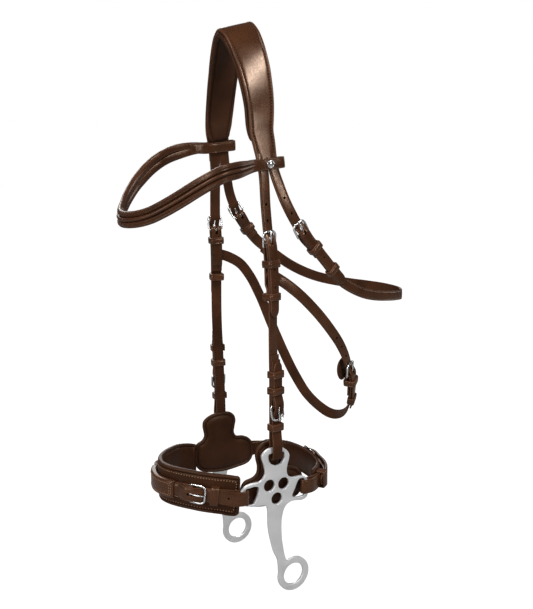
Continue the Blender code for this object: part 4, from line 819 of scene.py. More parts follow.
def crown_pad():
    """Padded lining: a thin fold above, a fuller roll below, cushion between seams."""
    start, end = (CROWN.length / 2 * (1 + sign * (10 / 11) ** 1.2) for sign in (-1, 1))

    def pad_half(along):
        inset_end = np.minimum(along - start, end - along)
        return crown_half(along, 14.6, 8.4) - 3.2 * (1 - np.minimum(1.0, inset_end / 20.0)) ** 1.5

    top = -CROWN_T / 2 - 0.9
    low = top - CROWN_PAD_T
    mid = (top + low) / 2
    rim = np.array([0.05, 0.35, 0.9, 1.8, 3.0])
    sections = []
    for s in np.r_[start + rim, np.linspace(start + 4.5, end - 4.5, 120), end - rim[::-1]]:
        from_end = min(s - start, end - s)
        full = math.sqrt(max(0.02, 1 - (1 - min(1.0, from_end / 4.0)) ** 2))
        half = pad_half(s) - 2.5 * (1 - full)
        side = [(0.0, top), (half * 0.5, top), (half - 1.6, top)]
        side += [(half - 1.15 + 1.15 * math.cos(a), top - 1.15 + 1.15 * math.sin(a))
                 for a in np.radians([80, 50, 20, -10, -40, -65])]
        side += [(half - 1.5, top - 2.42)]
        side += [(half - 1.75 + 1.75 * math.cos(a), low + 1.6 + 1.6 * math.sin(a))
                 for a in np.radians([40, 15, -15, -45, -75, -100])]
        side += [(half - 3.5, low + 0.35), (half - 4.2, low + 0.95), (half - 5.0, low + 0.35),
                 (half - 6.6, low - 0.15), (half * 0.42, low - 0.35), (0.0, low - 0.4)]
        across, out = np.array(side + [(-w, n) for w, n in side[1:-1][::-1]]).T
        sections.append(CROWN.points(s, across, mid + (out - mid) * full))
    build("crown_cushion", rings(sections), PAD_LEATHER_SHADED, node="crown_pad", angle=60)
    along = np.linspace(start + 5, end - 5, 160)
    rows = [CROWN.row(along, sign * (pad_half(along) - 4.2), low + 0.85, side=-1)
            for sign in (-1, 1)]
    stitches("crown_cushion_stitching", rows, SHADE_DARK_THREAD, radius=0.4, pitch=3.2, length=2.1,
             shade_strip=1.7)


crown_strap()
for mirror, side in SIDES:
    punches = [hole(CHEEK, CHEEK.near((66, -9, z)), 0, 1.7) for z in (338, 318.5)]
    punches += [hole(CHEEK, CHEEK.near((71, -5, z)), OVER, 1.3, depth=1.9) for z in (264, 243.5)]
    tail("headpiece_cheek_tail_" + side, CHEEK, UPPER_BAR[mirror], UPPER_TIP, punches, mirror)
    spine, bar = THROAT_FROM[mirror], THROAT_BAR[mirror]
    punches = [hole(spine, spine.near((66.5 + (y - 12) * .25, y, 343 - (y - 13) * 2.1)), 0, 1.7)
               for y in ((12.5,) if mirror else (12.5, 21))]
    punches += [hole(spine, bar + gap, OVER, 1.3, depth=1.9) for gap in (19.5, 39)]
    tail("headpiece_throat_tail_" + side, spine, bar, THROAT_TIP[mirror], punches, mirror)
crown_pad()

# ---------------------------------------------------------------- cheeks
LOWER_BAR = CHEEK.near((69.7, -2.7, 105))
LOWER_TIP = CHEEK.near((71, -4.2, 158))
EYE = CHEEK.near((68.6, -1.5, 50))
UNDER = -2 * BAR_DROP                               # leg folded under an upper bar
CHAPE = 0.9                                         # half the chape's thickness
CHAPE_LOW = STRAP_T / 2 + 0.45 + CHAPE              # chape leg on the cheek strap
CHAPE_HIGH = CHAPE_LOW + 2 * CHAPE + 0.25
BILLET = CHAPE_HIGH + CHAPE + 0.45 + STRAP_T / 2    # returning end on top of it
CHAPE_BEND = WIRE + GAP + CHAPE
LOWER_BAR_OUT = CHAPE_LOW + CHAPE_BEND
CHAPE_LEG = LOWER_BAR_OUT + CHAPE_BEND
OUTER_LEG = 2 * (PLATE_X - EYE_X)                   # strap outside the plate


def cheek_path(bar):
    """Round the upper bar, down through the plate's eye and back over the lower buckle."""
    path = [(bar + 53.5, -3.15), (bar + 49, -3.15), (bar + 44, UNDER), (bar + 8, UNDER)]
    path += fold(bar, -BAR_DROP, BAR_DROP, -1)
    path += [(bar + 60, 0), (LOWER_BAR, 0), (EYE - 6, 0)]
    path += fold(EYE + 7.2, OUTER_LEG / 2, OUTER_LEG / 2, 1, 14)
    over_bar = CHAPE_LEG + CHAPE + 2 * GAP + STRAP_T / 2
    return path + [
        (EYE - 8, OUTER_LEG - 0.1), (EYE - 18, 6.2), (LOWER_BAR + BUCKLE_L + 4, CHAPE_LEG - 3.0),
        (LOWER_BAR + BUCKLE_L - 2.5, CHAPE_LEG - 2.8), (LOWER_BAR + 10, CHAPE_LEG - 0.6),
        (LOWER_BAR + 3, over_bar), (LOWER_BAR - 3, over_bar), (LOWER_BAR - 12, BILLET),
        (LOWER_TIP, BILLET)]


def cheek(mirror, side):
    bar = UPPER_BAR[mirror]
    cuts = [tongue_slot(CHEEK, bar, -1, -BAR_DROP),
            hole(CHEEK, LOWER_BAR + 4.4, CHAPE_LEG + 1.4, 1.7, stretch=5.2, depth=4.6),
            hole(CHEEK, LOWER_BAR - 22, BILLET, 1.3, depth=1.5)]
    strap("cheek_" + side, CHEEK, cheek_path(bar), HALF, STRAP_T, cuts, tip=9, mirror=mirror,
          node="cheek_strap_" + side)
    rows = [CHEEK.row(stations_between(start, end), across, out, side=-1)
            for start, end, out in ((bar + 8, bar + 42, UNDER - STRAP_T / 2),
                                    (LOWER_BAR - 66, EYE - 4, -STRAP_T / 2))
            for across in (-4.6, 4.6)]
    stitches("cheek_stitching_" + side, rows, DARK_THREAD, radius=0.4, mirror=mirror)
    buckle("upper_cheek_" + side, CHEEK, bar, -1, -BAR_DROP, HALF, mirror)
    low, high = UNDER - STRAP_T / 2, OVER + STRAP_T / 2
    keeper("upper_fixed_keeper_" + side, CHEEK, bar + (14.5 if mirror else 20), HALF, low, high,
           mirror)
    keeper("upper_runner_keeper_" + side, CHEEK, CHEEK.near((71.2, -5, 237 if mirror else 233)),
           HALF, low, high, mirror)
    path = [(LOWER_BAR - 60, CHAPE_LOW), (LOWER_BAR - 10, CHAPE_LOW)]
    path += fold(LOWER_BAR, LOWER_BAR_OUT, CHAPE_BEND, 1, 10)
    path += [(LOWER_BAR - 12, CHAPE_HIGH), (LOWER_BAR - 54, CHAPE_HIGH)]
    strap("chape_" + side, CHEEK, path, HALF, 2 * CHAPE,
          [tongue_slot(CHEEK, LOWER_BAR, 1, LOWER_BAR_OUT)], crease=False, iters=2,
          mirror=mirror, node="lower_chape_" + side)
    buckle("lower_cheek_" + side, CHEEK, LOWER_BAR, 1, LOWER_BAR_OUT, HALF, mirror, rise=3.0)
    low, high = -STRAP_T / 2, BILLET + STRAP_T / 2
    keeper("lower_tip_keeper_" + side, CHEEK, CHEEK.near((70.7, -3.7, 142.5)), HALF, low, high,
           mirror, arch=True)
    keeper("lower_runner_keeper_" + side, CHEEK, CHEEK.near((70.2, -3.2, 123)), HALF, low,
           high + 0.25, mirror)
    keeper("lower_fixed_keeper_" + side, CHEEK, CHEEK.near((69, -2, 78.3)), HALF, low,
           OUTER_LEG - 0.4, mirror, arch=True)


for mirror, side in SIDES:
    cheek(mirror, side)

# ---------------------------------------------------------------- throatlash


def throatlash():
    near_bar, far_bar = THROAT_NEAR, THROAT.length - THROAT_BAR[True]
    path = folded_end(near_bar, -1, 34) + [(near_bar + 60, 0), (far_bar - 60, 0)]
    path += folded_end(far_bar, 1, 34)[::-1]
    strap("throatlash", THROAT, path, HALF, STRAP_T,
          [tongue_slot(THROAT, near_bar, -1, -BAR_DROP),
           tongue_slot(THROAT, far_bar, 1, -BAR_DROP)], node="throatlash_strap")
    low = UNDER + 2.5 - STRAP_T / 2
    fixed = THROAT.near((68, 53, 285))
    for along, side in ((fixed, "left"), (far_bar - (fixed - near_bar), "right")):
        keeper("throatlash_fixed_" + side, THROAT, along, HALF, low + 0.9, OVER + STRAP_T / 2,
               cad=False)
    rows = [THROAT.row(stations_between(start, end), across, low, side=-1)
            for start, end in ((near_bar + 15, near_bar + 33), (far_bar - 33, far_bar - 15))
            for across in (-4.6, 4.6)]
    stitches("throatlash_stitching", rows, DARK_THREAD, radius=0.4)
    runner = THROAT.near((64.3, 80, 257))
    for mirror, side in SIDES:
        spine, bar = THROAT_FROM[mirror], THROAT_BAR[mirror]
        buckle("throatlash_" + side, spine, bar, -1, -BAR_DROP, HALF, mirror)
        keeper("throatlash_runner_keeper_" + side, spine, bar + runner - near_bar, HALF,
               -STRAP_T / 2, OVER + STRAP_T / 2, mirror)


throatlash()

# ---------------------------------------------------------------- jaw strap


def jaw_strap():
    bar = JAW.near((59.8, 115.5, 122))
    tip = JAW.near((41, 124.3, 74))
    cuts = [hole(JAW, bar - 5.6, 1.0, 1.6, stretch=3.8, depth=5.5)]
    # (distance before the bar, height)
    cuts += [hole(JAW, bar - gap, out, 1.5, depth=2.2)
             for gap, out in ((29, -0.6), (44, -0.2), (59, -0.2))]
    strap("jaw_billet", JAW, over_buckle(bar, -4.3, tip), HALF, JAW_T, cuts, tip=9,
          node="jaw_strap_billet")
    path = folded_end(bar, -1, 30) + [(bar + 40, 0), (JAW.length + 4.3, 0)]
    strap("jaw_long", JAW, path, HALF, JAW_T, [tongue_slot(JAW, bar, -1, -BAR_DROP)],
          node="jaw_strap_long")
    buckle("jaw", JAW, bar, -1, -BAR_DROP, HALF)
    high = OVER + STRAP_T / 2
    keeper("jaw_fixed_keeper", JAW, bar + 10.5, HALF, UNDER - STRAP_T / 2, high)
    keeper("jaw_runner_keeper", JAW, bar + 38, HALF, -STRAP_T / 2, high)
    # oval guard inside the buckle: (share of its radii, height)
    profile = ((0.30, 0.0), (0.78, 0.05), (0.84, -0.25), (0.89, -0.05), (0.95, -0.08),
               (0.99, -0.55), (1.0, -1.1), (0.99, -1.65), (0.95, -2.15), (0.88, -2.25),
               (0.83, -1.9), (0.76, -2.3), (0.30, -2.6))
    turn = 2 * math.pi * np.arange(48) / 48
    top = UNDER - STRAP_T / 2 - GAP - 0.6
    build("jaw_guard", rings([JAW.points(bar - 10 + 15 * share * np.cos(turn),
                                         -3.0 + 14.5 * share * np.sin(turn), top + height)
                              for share, height in profile]),
          PAD_LEATHER_SHADED, node="jaw_buckle_guard", angle=60)


jaw_strap()

# ---------------------------------------------------------------- browband
# Each end: fold round the headpiece, start of the flat part, end of its change
# into the ribbed band.
NEAR_ENDS = [BROW.near(p) for p in ((62.5, 11.5, 383.2), (63, -18, 380.3), (80, -57.5, 375.5))]
FAR_ENDS = [BROW_FROM_FAR.near(p)
            for p in ((60.75, 10.3, 401.8), (61.2, -19.5, 398.8), (79.2, -57.5, 391.8))]
LOOP_T, LOOP_BEND = 2.1, 4.1


def brow_section(along):
    """Flat strap that turns into a band with a middle rib and ribbed side rolls."""
    if along < BROW.length / 2:
        (_, start, end), from_end = NEAR_ENDS, along
    else:
        (_, start, end), from_end = FAR_ENDS, BROW.length - along
    change = smoothstep((from_end - start) / (end - start))
    half, thick = 6.4 + 3.0 * change, 2.4 + 0.3 * change
    share = np.r_[np.linspace(-1, 1, 65), np.linspace(1, -1, 41)[1:-1]]
    outer = np.r_[np.ones(65, bool), np.zeros(39, bool)]
    size = np.abs(share)
    flat = np.where(outer, thick / 2, -thick / 2) * np.sqrt(np.maximum(0.0, 1 - size ** 9))

    def lobe(centre, width):
        return np.sqrt(np.maximum(0.0, 1 - ((share - centre) / width) ** 2))

    rolls = np.maximum(lobe(-0.64, 0.37), lobe(0.64, 0.37))
    ribs = 0.26 * np.cos((size - 0.30) * 2 * math.pi * 7.6) \
        * np.clip((size - 0.30) * 12, 0, 1) * np.clip((0.97 - size) * 12, 0, 1)
    front = np.where(size < 0.25, 1.5 + 2.6 * lobe(0.0, 0.24),
                     0.4 + 2.9 * rolls * (1.0 - 0.1 * size) + ribs)
    back = -(0.5 + 3.1 * np.maximum(lobe(-0.49, 0.53), lobe(0.49, 0.53)) ** 0.8)
    full = np.where(size > 0.985, 0.0, np.where(outer, front, back))
    return BROW.points(along, share * half, (1 - change) * flat + change * full + 0.6 * change)


def browband():
    start, end = NEAR_ENDS[1], BROW.length - FAR_ENDS[1]
    stations = np.r_[start + np.array([3.0, 5.0]), np.linspace(start + 8, end - 8, 150),
                     end - np.array([5.0, 3.0])]
    build("browband_band", rings([brow_section(s) for s in stations]), SMOOTH,
          node="browband", angle=70)
    for mirror, side in SIDES:
        spine, (turn, flat, _) = (BROW_FROM_FAR, FAR_ENDS) if mirror else (BROW, NEAR_ENDS)
        mid = (turn + flat) / 2
        path = [(flat + 21.0, -4.2), (flat + 14.5, -4.2), (flat + 6.5, -2 * LOOP_BEND - 1),
                (mid, -2 * LOOP_BEND - 0.6)]
        path += fold(turn, -LOOP_BEND, LOOP_BEND, -1)
        path += [(mid, 0), (flat, 0.3), (flat + 9, 0.45)]
        strap("browband_loop_" + side, spine, path, 6.35, LOOP_T, mirror=mirror, body="browband")


def stud():
    """Domed disc on the near loop: (height, radius) rings about its axis."""
    profile = ((0.55, 4.3), (0.9, 4.6), (1.5, 4.62), (1.85, 4.35), (1.95, 3.9), (1.8, 3.5),
               (1.95, 3.1), (2.3, 2.4), (2.5, 1.4), (2.56, 0.4))
    centre, tangent, sideways, normal = BROW.frame(BROW.near((62.6, -4.5, 381.5)))
    turn = (np.arange(40) * math.pi / 20)[:, None]
    build("stud", rings([centre + (LOOP_T / 2 + height) * normal
                         + radius * (np.cos(turn) * tangent + np.sin(turn) * sideways)
                         for height, radius in profile]),
          CHROME, node="browband_stud", angle=50)


browband()
stud()

# ---------------------------------------------------------------- lever plates
# Outlines are (y, z).  The plate's runs down the front, round the rein ring
# and up the rear.
RING_CENTRE, RING_OUTER, RING_INNER = (23.5, -114.5), 21.7, 13.7
HOLE_R = 7.4
HOLE_CENTRES = [(-11.0, 7.1), (8.5, 6.1), (-0.7, -11.1)]
PLATE_FRONT = [
    (-4, 53), (-11, 53), (-16.5, 50.5), (-20.5, 47), (-21, 43), (-18.5, 35), (-17, 29),
    (-16.5, 24), (-17.7, 20), (-20.5, 16.5), (-24, 14.5), (-30, 14), (-36, 13.8), (-42, 12.5),
    (-46, 10), (-48.5, 7), (-48.5, -6), (-46, -10), (-42.5, -12), (-37, -14), (-29, -15.2),
    (-20.5, -16), (-15, -18), (-13, -23), (-12.7, -31), (-12.5, -42), (-11, -53.5),
    (-8.3, -65.5), (-4.3, -79.8), (1, -91.6)]
PLATE_REAR = [
    (10.5, -86), (8.6, -76), (6.9, -65.5), (6.1, -54), (6.1, -43), (7.3, -33.6), (9.5, -27),
    (13, -22), (19, -19.4), (26, -19.4), (34, -20.7), (39.5, -19.5), (42.5, -16.5), (43.2, -10),
    (43.2, 0), (42, 5), (39, 8), (34, 10.4), (26, 10.8), (20, 11.3), (15.5, 14), (13.4, 18),
    (13, 23), (14, 28.7), (16, 36), (16.5, 40.5), (14.6, 45), (10.3, 49), (4, 52.7)]
TOP_EYE = [(-11.3, 46), (-12.2, 41), (-10.8, 36.5), (-7.2, 32.5), (-2, 30.3), (3, 30.8),
           (7, 33.8), (9.2, 38.5), (9.4, 43), (8, 46)]
FRONT_SLOT = [(-42.6, 8.4), (-36, 9.6), (-30.5, 9.9), (-25, 6.8), (-31.2, -11),
              (-36.5, -11.6), (-42.6, -10.8)]
REAR_SLOT = [(38, 5.8), (30.3, 6.8), (24.5, -4), (20.8, -12.5), (26, -15.5), (33, -16),
             (38, -14.6)]
NEAR_PAD = [
    (-23.5, 43), (-22, 50), (-15, 56), (-4, 58.5), (6, 57.2), (13.5, 52), (16, 44.5),
    (14.5, 36), (13.5, 28.5), (17, 22.5), (26, 20.8), (35, 16.5), (41, 9), (42.8, -2),
    (40.5, -12.5), (34, -19), (20, -22), (0, -23.8), (-20, -22), (-34, -18), (-41, -11.5),
    (-44, -2), (-42.5, 8), (-37.5, 14.2), (-27, 16.8), (-22, 21), (-21, 29), (-22.7, 37)]
# the far pad has a broader upper lobe towards the nose
FAR_PAD = [(-32, 43), (-30.5, 50), (-22, 56), (-9, 58.5)] + NEAR_PAD[4:-6] \
    + [(-44.2, 8.5), (-43, 18), (-38.5, 22), (-33, 24.5), (-30, 29.5), (-31, 37)]


def closed_curve(outline, per):
    """Catmull-Rom curve through a closed outline."""
    knots = np.array(outline, float)
    out = []
    for j in range(len(knots)):
        a, b, c, d = (knots[(j + shift) % len(knots)] for shift in (-1, 0, 1, 2))
        span = np.linalg.norm(c - b)
        leave = (c - a) * span / max(1e-6, np.linalg.norm(b - a) + span)
        arrive = (d - b) * span / max(1e-6, np.linalg.norm(d - c) + span)
        for t in np.linspace(0, 1, per, endpoint=False):
            out.append((2 * t**3 - 3 * t**2 + 1) * b + (t**3 - 2 * t**2 + t) * leave
                       + (-2 * t**3 + 3 * t**2) * c + (t**3 - t**2) * arrive)
    return np.array(out)


def signed_area(outline):
    y, z = outline[:, 0], outline[:, 1]
    return 0.5 * float(np.sum(y * np.roll(z, -1) - np.roll(y, -1) * z))


def inset(outline, distance, outer=True):
    """Outline moved into the material: inwards, or outwards for a hole."""
    chord = np.roll(outline, -1, 0) - np.roll(outline, 1, 0)
    normals = unit(np.stack([chord[:, 1], -chord[:, 0]], 1))
    sign = 1.0 if signed_area(outline) > 0 else -1.0
    return outline - normals * sign * (distance if outer else -distance)


def ring_arc(centre, radius, start, end, count):
    return [(centre[0] + radius * math.cos(math.radians(a)),
             centre[1] + radius * math.sin(math.radians(a)))
            for a in np.linspace(start, end, count)]


def plate_mesh(outline, holes, x_in, x_out):
    """Flat plate with rolled-off edges."""
    loops = [(outline, True)] + [(h, False) for h in holes]
    soft = 0.55
    levels = [(soft * (1 - math.sin(a)), x_out - soft * (1 - math.cos(a)))
              for a in map(math.radians, (0, 30, 60, 90))]
    levels += [(d, x_in + (x_out - x)) for d, x in levels[::-1]]
    verts, faces, starts = [], [], []
    for distance, x in levels:
        starts.append([])
        for loop, outer in loops:
            starts[-1].append(len(verts))
            verts += [(x, y, z) for y, z in inset(loop, distance, outer)]
    for here, after in zip(starts[:-1], starts[1:]):
        for a, b, (loop, _) in zip(here, after, loops):
            for j in range(len(loop)):
                k = (j + 1) % len(loop)
                faces.append((a + j, a + k, b + k, b + j))
    rims = [[Vector((y, z, 0)) for y, z in inset(loop, soft, outer)] for loop, outer in loops]
    triangles = tessellate_polygon(rims)
    for start, step in ((starts[0][0], 1), (starts[-1][0], -1)):
        faces += [tuple(start + j for j in t)[::step] for t in triangles]
    return verts, faces, [0] * len(faces)


def outline_distance(points, outline):
    side = np.roll(outline, -1, 0) - outline
    squared = np.maximum(1e-9, np.sum(side * side, 1))
    share = np.sum((points[:, None] - outline[None]) * side[None], 2) / squared[None]
    foot = outline[None] + np.clip(share, 0, 1)[..., None] * side[None]
    return np.sqrt(np.min(np.sum((points[:, None] - foot) ** 2, 2), 1))


def inside(points, outline):
    y, z = points[:, 0][:, None], points[:, 1][:, None]
    y_a, z_a = outline[:, 0][None], outline[:, 1][None]
    y_b, z_b = np.roll(outline[:, 0], -1)[None], np.roll(outline[:, 1], -1)[None]
    rise = np.where(z_b == z_a, 1e-9, z_b - z_a)
    hit = ((z_a > z) != (z_b > z)) & (y < (y_b - y_a) * (z - z_a) / rise + y_a)
    return np.sum(hit, 1) % 2 == 1


def cushion(outline, face, back):
    """Closed cushion: face and back give x from the distance to the rim."""
    step = 1.5
    insets = (0.12, 0.4, 0.9, 1.5, 2.2, 2.9, 3.5, 4.0, 4.4, 4.8, 5.3, 5.9, 6.8, 7.8)
    points = [tuple(p) for p in outline]
    count = len(points)
    for distance in insets:
        ring = inset(outline, distance)
        good = (outline_distance(ring, outline) > distance * 0.93) & inside(ring, outline)
        points += [tuple(p) for p in ring[good]]
    low, high = outline.min(0), outline.max(0)
    grid = np.array([(y + (0.5 * step if j % 2 else 0), z)
                     for j, z in enumerate(np.arange(low[1], high[1], step * 0.87))
                     for y in np.arange(low[0], high[0], step)])
    grid = grid[inside(grid, outline)]
    grid = grid[outline_distance(grid, outline) > insets[-1] + step * 0.5]
    points += [tuple(p) for p in grid]
    result = delaunay_2d_cdt([Vector(p) for p in points], [], [list(range(count))], 1, 1e-4)
    flat = np.array([tuple(p) for p in result[0]])
    triangles = [tuple(t) for t in result[2]]
    depth = outline_distance(flat, outline)
    rim = depth < 1e-3
    depth[rim] = 0
    verts = [(face(d), y, z) for d, (y, z) in zip(depth, flat)]
    # the back shares the rim's vertices
    twin = {}
    for j, (d, (y, z)) in enumerate(zip(depth, flat)):
        twin[j] = j if rim[j] else len(verts)
        if not rim[j]:
            verts.append((back(d), y, z))
    faces = triangles + [tuple(twin[j] for j in t[::-1]) for t in triangles]
    return verts, faces, [0] * len(faces)


def roll(distance, radius):
    """Height of a round piping at a distance from its outer edge."""
    return math.sqrt(max(0.0, radius * radius - (min(distance, 2 * radius) - radius) ** 2))


def lever_bulge(distance, pipe, floor, gain, reach):
    """Piping round the rim, then a cushion rising from the seam."""
    height = pipe * roll(distance, 2.1) / 2.1
    if distance > 3.95:
        height = max(height, floor + gain * (1 - math.exp(-(distance - 3.95) / reach)))
    return height


def lever_face(distance):
    return PAD_X + lever_bulge(distance, pipe=2.6, floor=0.4, gain=3.05, reach=2.2)


def lever_back(distance):
    return PAD_X - lever_bulge(distance, pipe=2.4, floor=0.5, gain=2.95, reach=2.4)


def lever(mirror, side, outline, holes):
    build("plate_" + side, plate_mesh(outline, holes, PLATE_X - PLATE_T / 2, PLATE_X + PLATE_T / 2),
          PLATE, mirror=mirror, node="lever_plate_" + side, angle=35)
    pad = closed_curve(FAR_PAD if mirror else NEAR_PAD, 6)
    build("pad_" + side, cushion(pad, lever_face, lever_back), PAD_LEATHER_SHADED, mirror=mirror,
          node="lever_pad_" + side, angle=75)
    ring = inset(pad, 4.3)
    ring = np.vstack([ring, ring[:1]])
    rows = [(np.c_[np.full(len(ring), x), ring], np.tile([sign, 0, 0], (len(ring), 1)))
            for x, sign in ((PAD_X + 0.85, 1.0), (PAD_X - 0.95, -1.0))]
    stitches("pad_stitching_" + side, rows, SHADE_DARK_THREAD, radius=0.36, pitch=3.2, shade_strip=1.9,
             body=side + "_lever", mirror=mirror)


plate_outline = closed_curve(
    PLATE_FRONT + ring_arc(RING_CENTRE, RING_OUTER, 165, 475, 22) + PLATE_REAR, 4)
plate_holes = [closed_curve(h, 5) for h in (TOP_EYE, FRONT_SLOT, REAR_SLOT)]
plate_holes += [np.array(ring_arc(c, HOLE_R, 0, 352.5, 48)) for c in HOLE_CENTRES]
plate_holes.append(np.array(ring_arc(RING_CENTRE, RING_INNER, 0, 354, 60)))
for mirror, side in SIDES:
    lever(mirror, side, plate_outline, plate_holes)

# ---------------------------------------------------------------- padded panels


def piped(distance, edge, base, pipe, radius, floor, gain, reach):
    """Piping as far as `edge` from the rim, then a cushion that levels off."""
    if distance < edge:
        return base + pipe * (roll(distance, radius) / radius)
    return floor + gain * (1 - math.exp(-(distance - edge) / reach))


def panel(spine, start, end, half_at, face, back, corner, drop=lambda e: 0.0, lift=lambda s: 0.0):
    """Padded panel with rounded corners; face and back are heights at a distance
    from the rim, drop shifts it across and lift outwards."""
    columns = np.array([0, 0.3, 0.7, 1.2, 1.8, 2.4, 3.0, 3.6, 4.1, 4.6, 5.1, 5.7, 6.4, 7.4])
    ends = np.r_[0.05, columns[1:], 8.6, 10.0]
    middle = np.linspace(start + 12, end - 12, max(4, int((end - start - 24) / 2.2)))
    sections = []
    for s in np.r_[start + ends, middle, end - ends[::-1]]:
        from_end = min(s - start, end - s)
        full = half_at(from_end)
        half = full
        if from_end < corner:
            half = full - (corner - math.sqrt(max(0.0, corner**2 - (corner - from_end) ** 2)))
        inner = np.linspace(columns[-1] + 1.5, full, max(3, int((full - columns[-1]) / 2.4)))
        across = (full - np.r_[columns, inner]) * (half / full)
        depth = []
        for w in across:
            a, b = full - corner - abs(w), from_end - corner
            depth.append(corner - math.hypot(a, b) if a < 0 and b < 0
                         else min(full - abs(w), from_end))
        depth = np.maximum(0.0, depth)
        across = np.r_[-across, across[::-1][1:]]
        depth = np.r_[depth, depth[::-1][1:]]
        top = [face(d) for d in depth]
        low = [-back(d) for d in depth]
        across = np.r_[across, across[::-1][1:-1]]
        out = np.r_[top, low[::-1][1:-1]]
        sections.append(spine.points(s, across + drop(from_end), out + lift(s)))
    return rings(sections)


def slot_turn(bar, out, half):
    """Path through a plate slot and round its bar."""
    bend = 3.85
    centre = bar - (half + 0.35 + STRAP_T / 2 - bend)
    return [(bar + 1.0, out - bend), (centre, out - bend)] \
        + arc(centre, out, bend, -1, -75, 75, 11) + [(centre, out + bend), (bar + 1.0, out + bend)]


# ---------------------------------------------------------------- noseband
NOSE_HALF, NOSE_T = 49.0 / 2, 8.0
NOSE_MID = NOSE.length / 2
PANEL_T2 = (NOSE_T - 0.7) / 2
PANEL_START = NOSE.near((65, -46.3, -1))
PANEL_END = NOSE.length - PANEL_START + 2.0
NOSE_BAR = NOSE_MID - 44.5                      # buckle bar
BASE_T = 2.0
BASE_OUT = NOSE_T / 2 + 0.4 + BASE_T / 2        # base strap on the panel
BASE_BEND = WIRE + GAP + BASE_T / 2
NOSE_BAR_OUT = BASE_OUT + BASE_BEND
BASE_LEG = NOSE_BAR_OUT + BASE_BEND
BILLET_BAR = BASE_LEG + 1.0 + GAP + STRAP_T / 2
BILLET_TIP = BASE_OUT + 1.0 + 0.4 + STRAP_T / 2


def nose_face(distance):
    height = piped(distance, edge=4.2, base=0.15, pipe=2.9, radius=2.2, floor=1.3,
                   gain=PANEL_T2 - 1.3 - 0.1, reach=0.55)
    return height + 0.16 * min(1.0, max(0.0, (distance - 7.5) / 6))


def nose_back(distance):
    return piped(distance, edge=3.6, base=0.1, pipe=2.7, radius=2.0, floor=1.4,
                 gain=PANEL_T2 - 1.4 + 0.2, reach=2.6)


def nose_lift(along):
    """The far end of the panel lies a little inward, over the edge of the pad."""
    return -8.0 * smoothstep((along - (PANEL_END - 34.0)) / 34.0)


def panel_rows(distance, height, side=1):
    """A seam all round the panel at a distance from its rim."""
    half = NOSE_HALF - distance
    start, end = PANEL_START + distance, PANEL_END - distance
    along = stations_between(start, end)
    rows = [NOSE.row(along, w, height + nose_lift(along), side) for w in (-half, half)]
    across = np.linspace(-half + 1, half - 1, 24)
    return rows + [NOSE.row(s, across, height + nose_lift(s), side) for s in (start, end)]


def nose_panel():
    mesh = panel(NOSE, PANEL_START, PANEL_END, lambda e: NOSE_HALF, nose_face, nose_back,
                 corner=5.0, lift=nose_lift)
    build("noseband_panel", mesh, PAD_LEATHER_SHADED, node="noseband", angle=75)
    stitches("noseband_stitching", panel_rows(6.3, nose_face(6.3) - 0.08), TAN_THREAD,
             radius=0.55, pitch=3.4, length=1.7, shade_strip=1.4, body="noseband")
    # a near-black strip of painted shade along the lining seam
    seam("noseband_lining_seam", panel_rows(3.9, -nose_back(3.9), side=-1), 1.8, "noseband")


def nose_base():
    far_bar = NOSE.length - NOSE_BAR
    path = [(NOSE_BAR + 8, BASE_OUT + 2.3)] + fold(NOSE_BAR, NOSE_BAR_OUT, BASE_BEND, -1)[::-1]
    path += [(NOSE_MID, BASE_OUT)] + fold(far_bar, NOSE_BAR_OUT, BASE_BEND, 1)
    path += [(far_bar - 8, BASE_OUT + 2.3)]
    strap("noseband_base", NOSE, path, NOSE_STRAP_HALF, BASE_T,
          [tongue_slot(NOSE, NOSE_BAR, -1, NOSE_BAR_OUT),
           tongue_slot(NOSE, far_bar, 1, NOSE_BAR_OUT)], node="noseband_overlay")


def nose_sleeve():
    """Stitched sleeve over the front, its ends slightly rounded."""
    length, thick = 52.0, 1.6
    start = NOSE_MID - length / 2
    high = BILLET_TIP + STRAP_T / 2 + 0.75
    points, normals = round_rect(NOSE_STRAP_HALF + 0.5, BASE_OUT + 1.15 - 0.35, high, 6)
    rim = np.array([0.0, 0.25, 0.8, 1.5, 1.8, 2.2, 3.0])
    outer, inner = [], []
    for e in np.r_[rim, np.linspace(5, length - 5, 24), length - rim[::-1]]:
        from_end = min(e, length - e)
        wall = thick * (0.55 + 0.45 * min(1, from_end / 0.8)) + 0.1 \
            - 0.25 * math.exp(-((from_end - 1.8) / 0.35) ** 2)
        bow = 0.25 * math.sin(math.pi * e / length) * (normals[:, 1] > 0.5)
        skin = points + normals * wall
        outer.append(NOSE.points(start + e, skin[:, 0], skin[:, 1] + bow))
        inner.append(NOSE.points(start + e, points[:, 0], points[:, 1]))
    count, size = len(outer), len(points)
    shift = count * size
    faces, index = [], []
    for i in range(count - 1):
        here, after = i * size, (i + 1) * size
        for j in range(size):
            k = (j + 1) % size
            faces.append((here + j, here + k, after + k, after + j))
            faces.append((shift + here + j, shift + after + j, shift + after + k,
                          shift + here + k))
            index += [0, 2]
    for here in (0, (count - 1) * size):
        for j in range(size):
            k = (j + 1) % size
            faces.append((here + j, shift + here + j, shift + here + k, here + k))
            index.append(1)
    ob = build("noseband_sleeve", (np.concatenate(outer + inner), faces, index), body="noseband")
    top = high + thick
    along = stations_between(start + 3, NOSE_MID + length / 2 - 3)
    bow = 0.25 * np.sin(math.pi * (along - start) / length)
    rows = [NOSE.row(along, w, top + 0.02 + bow)
            for w in (-NOSE_STRAP_HALF + 1.6, NOSE_STRAP_HALF - 1.6)]
    across = np.linspace(-NOSE_STRAP_HALF + 2.4, NOSE_STRAP_HALF - 2.4, 12)
    rows += [NOSE.row(start + e, across, top + 0.04) for e in (3.0, 5.2, length - 5.2, length - 3.0)]
    stitches("sleeve_stitching", rows, TAN_THREAD, radius=0.4, pitch=2.6, length=1.7,
             body="noseband")


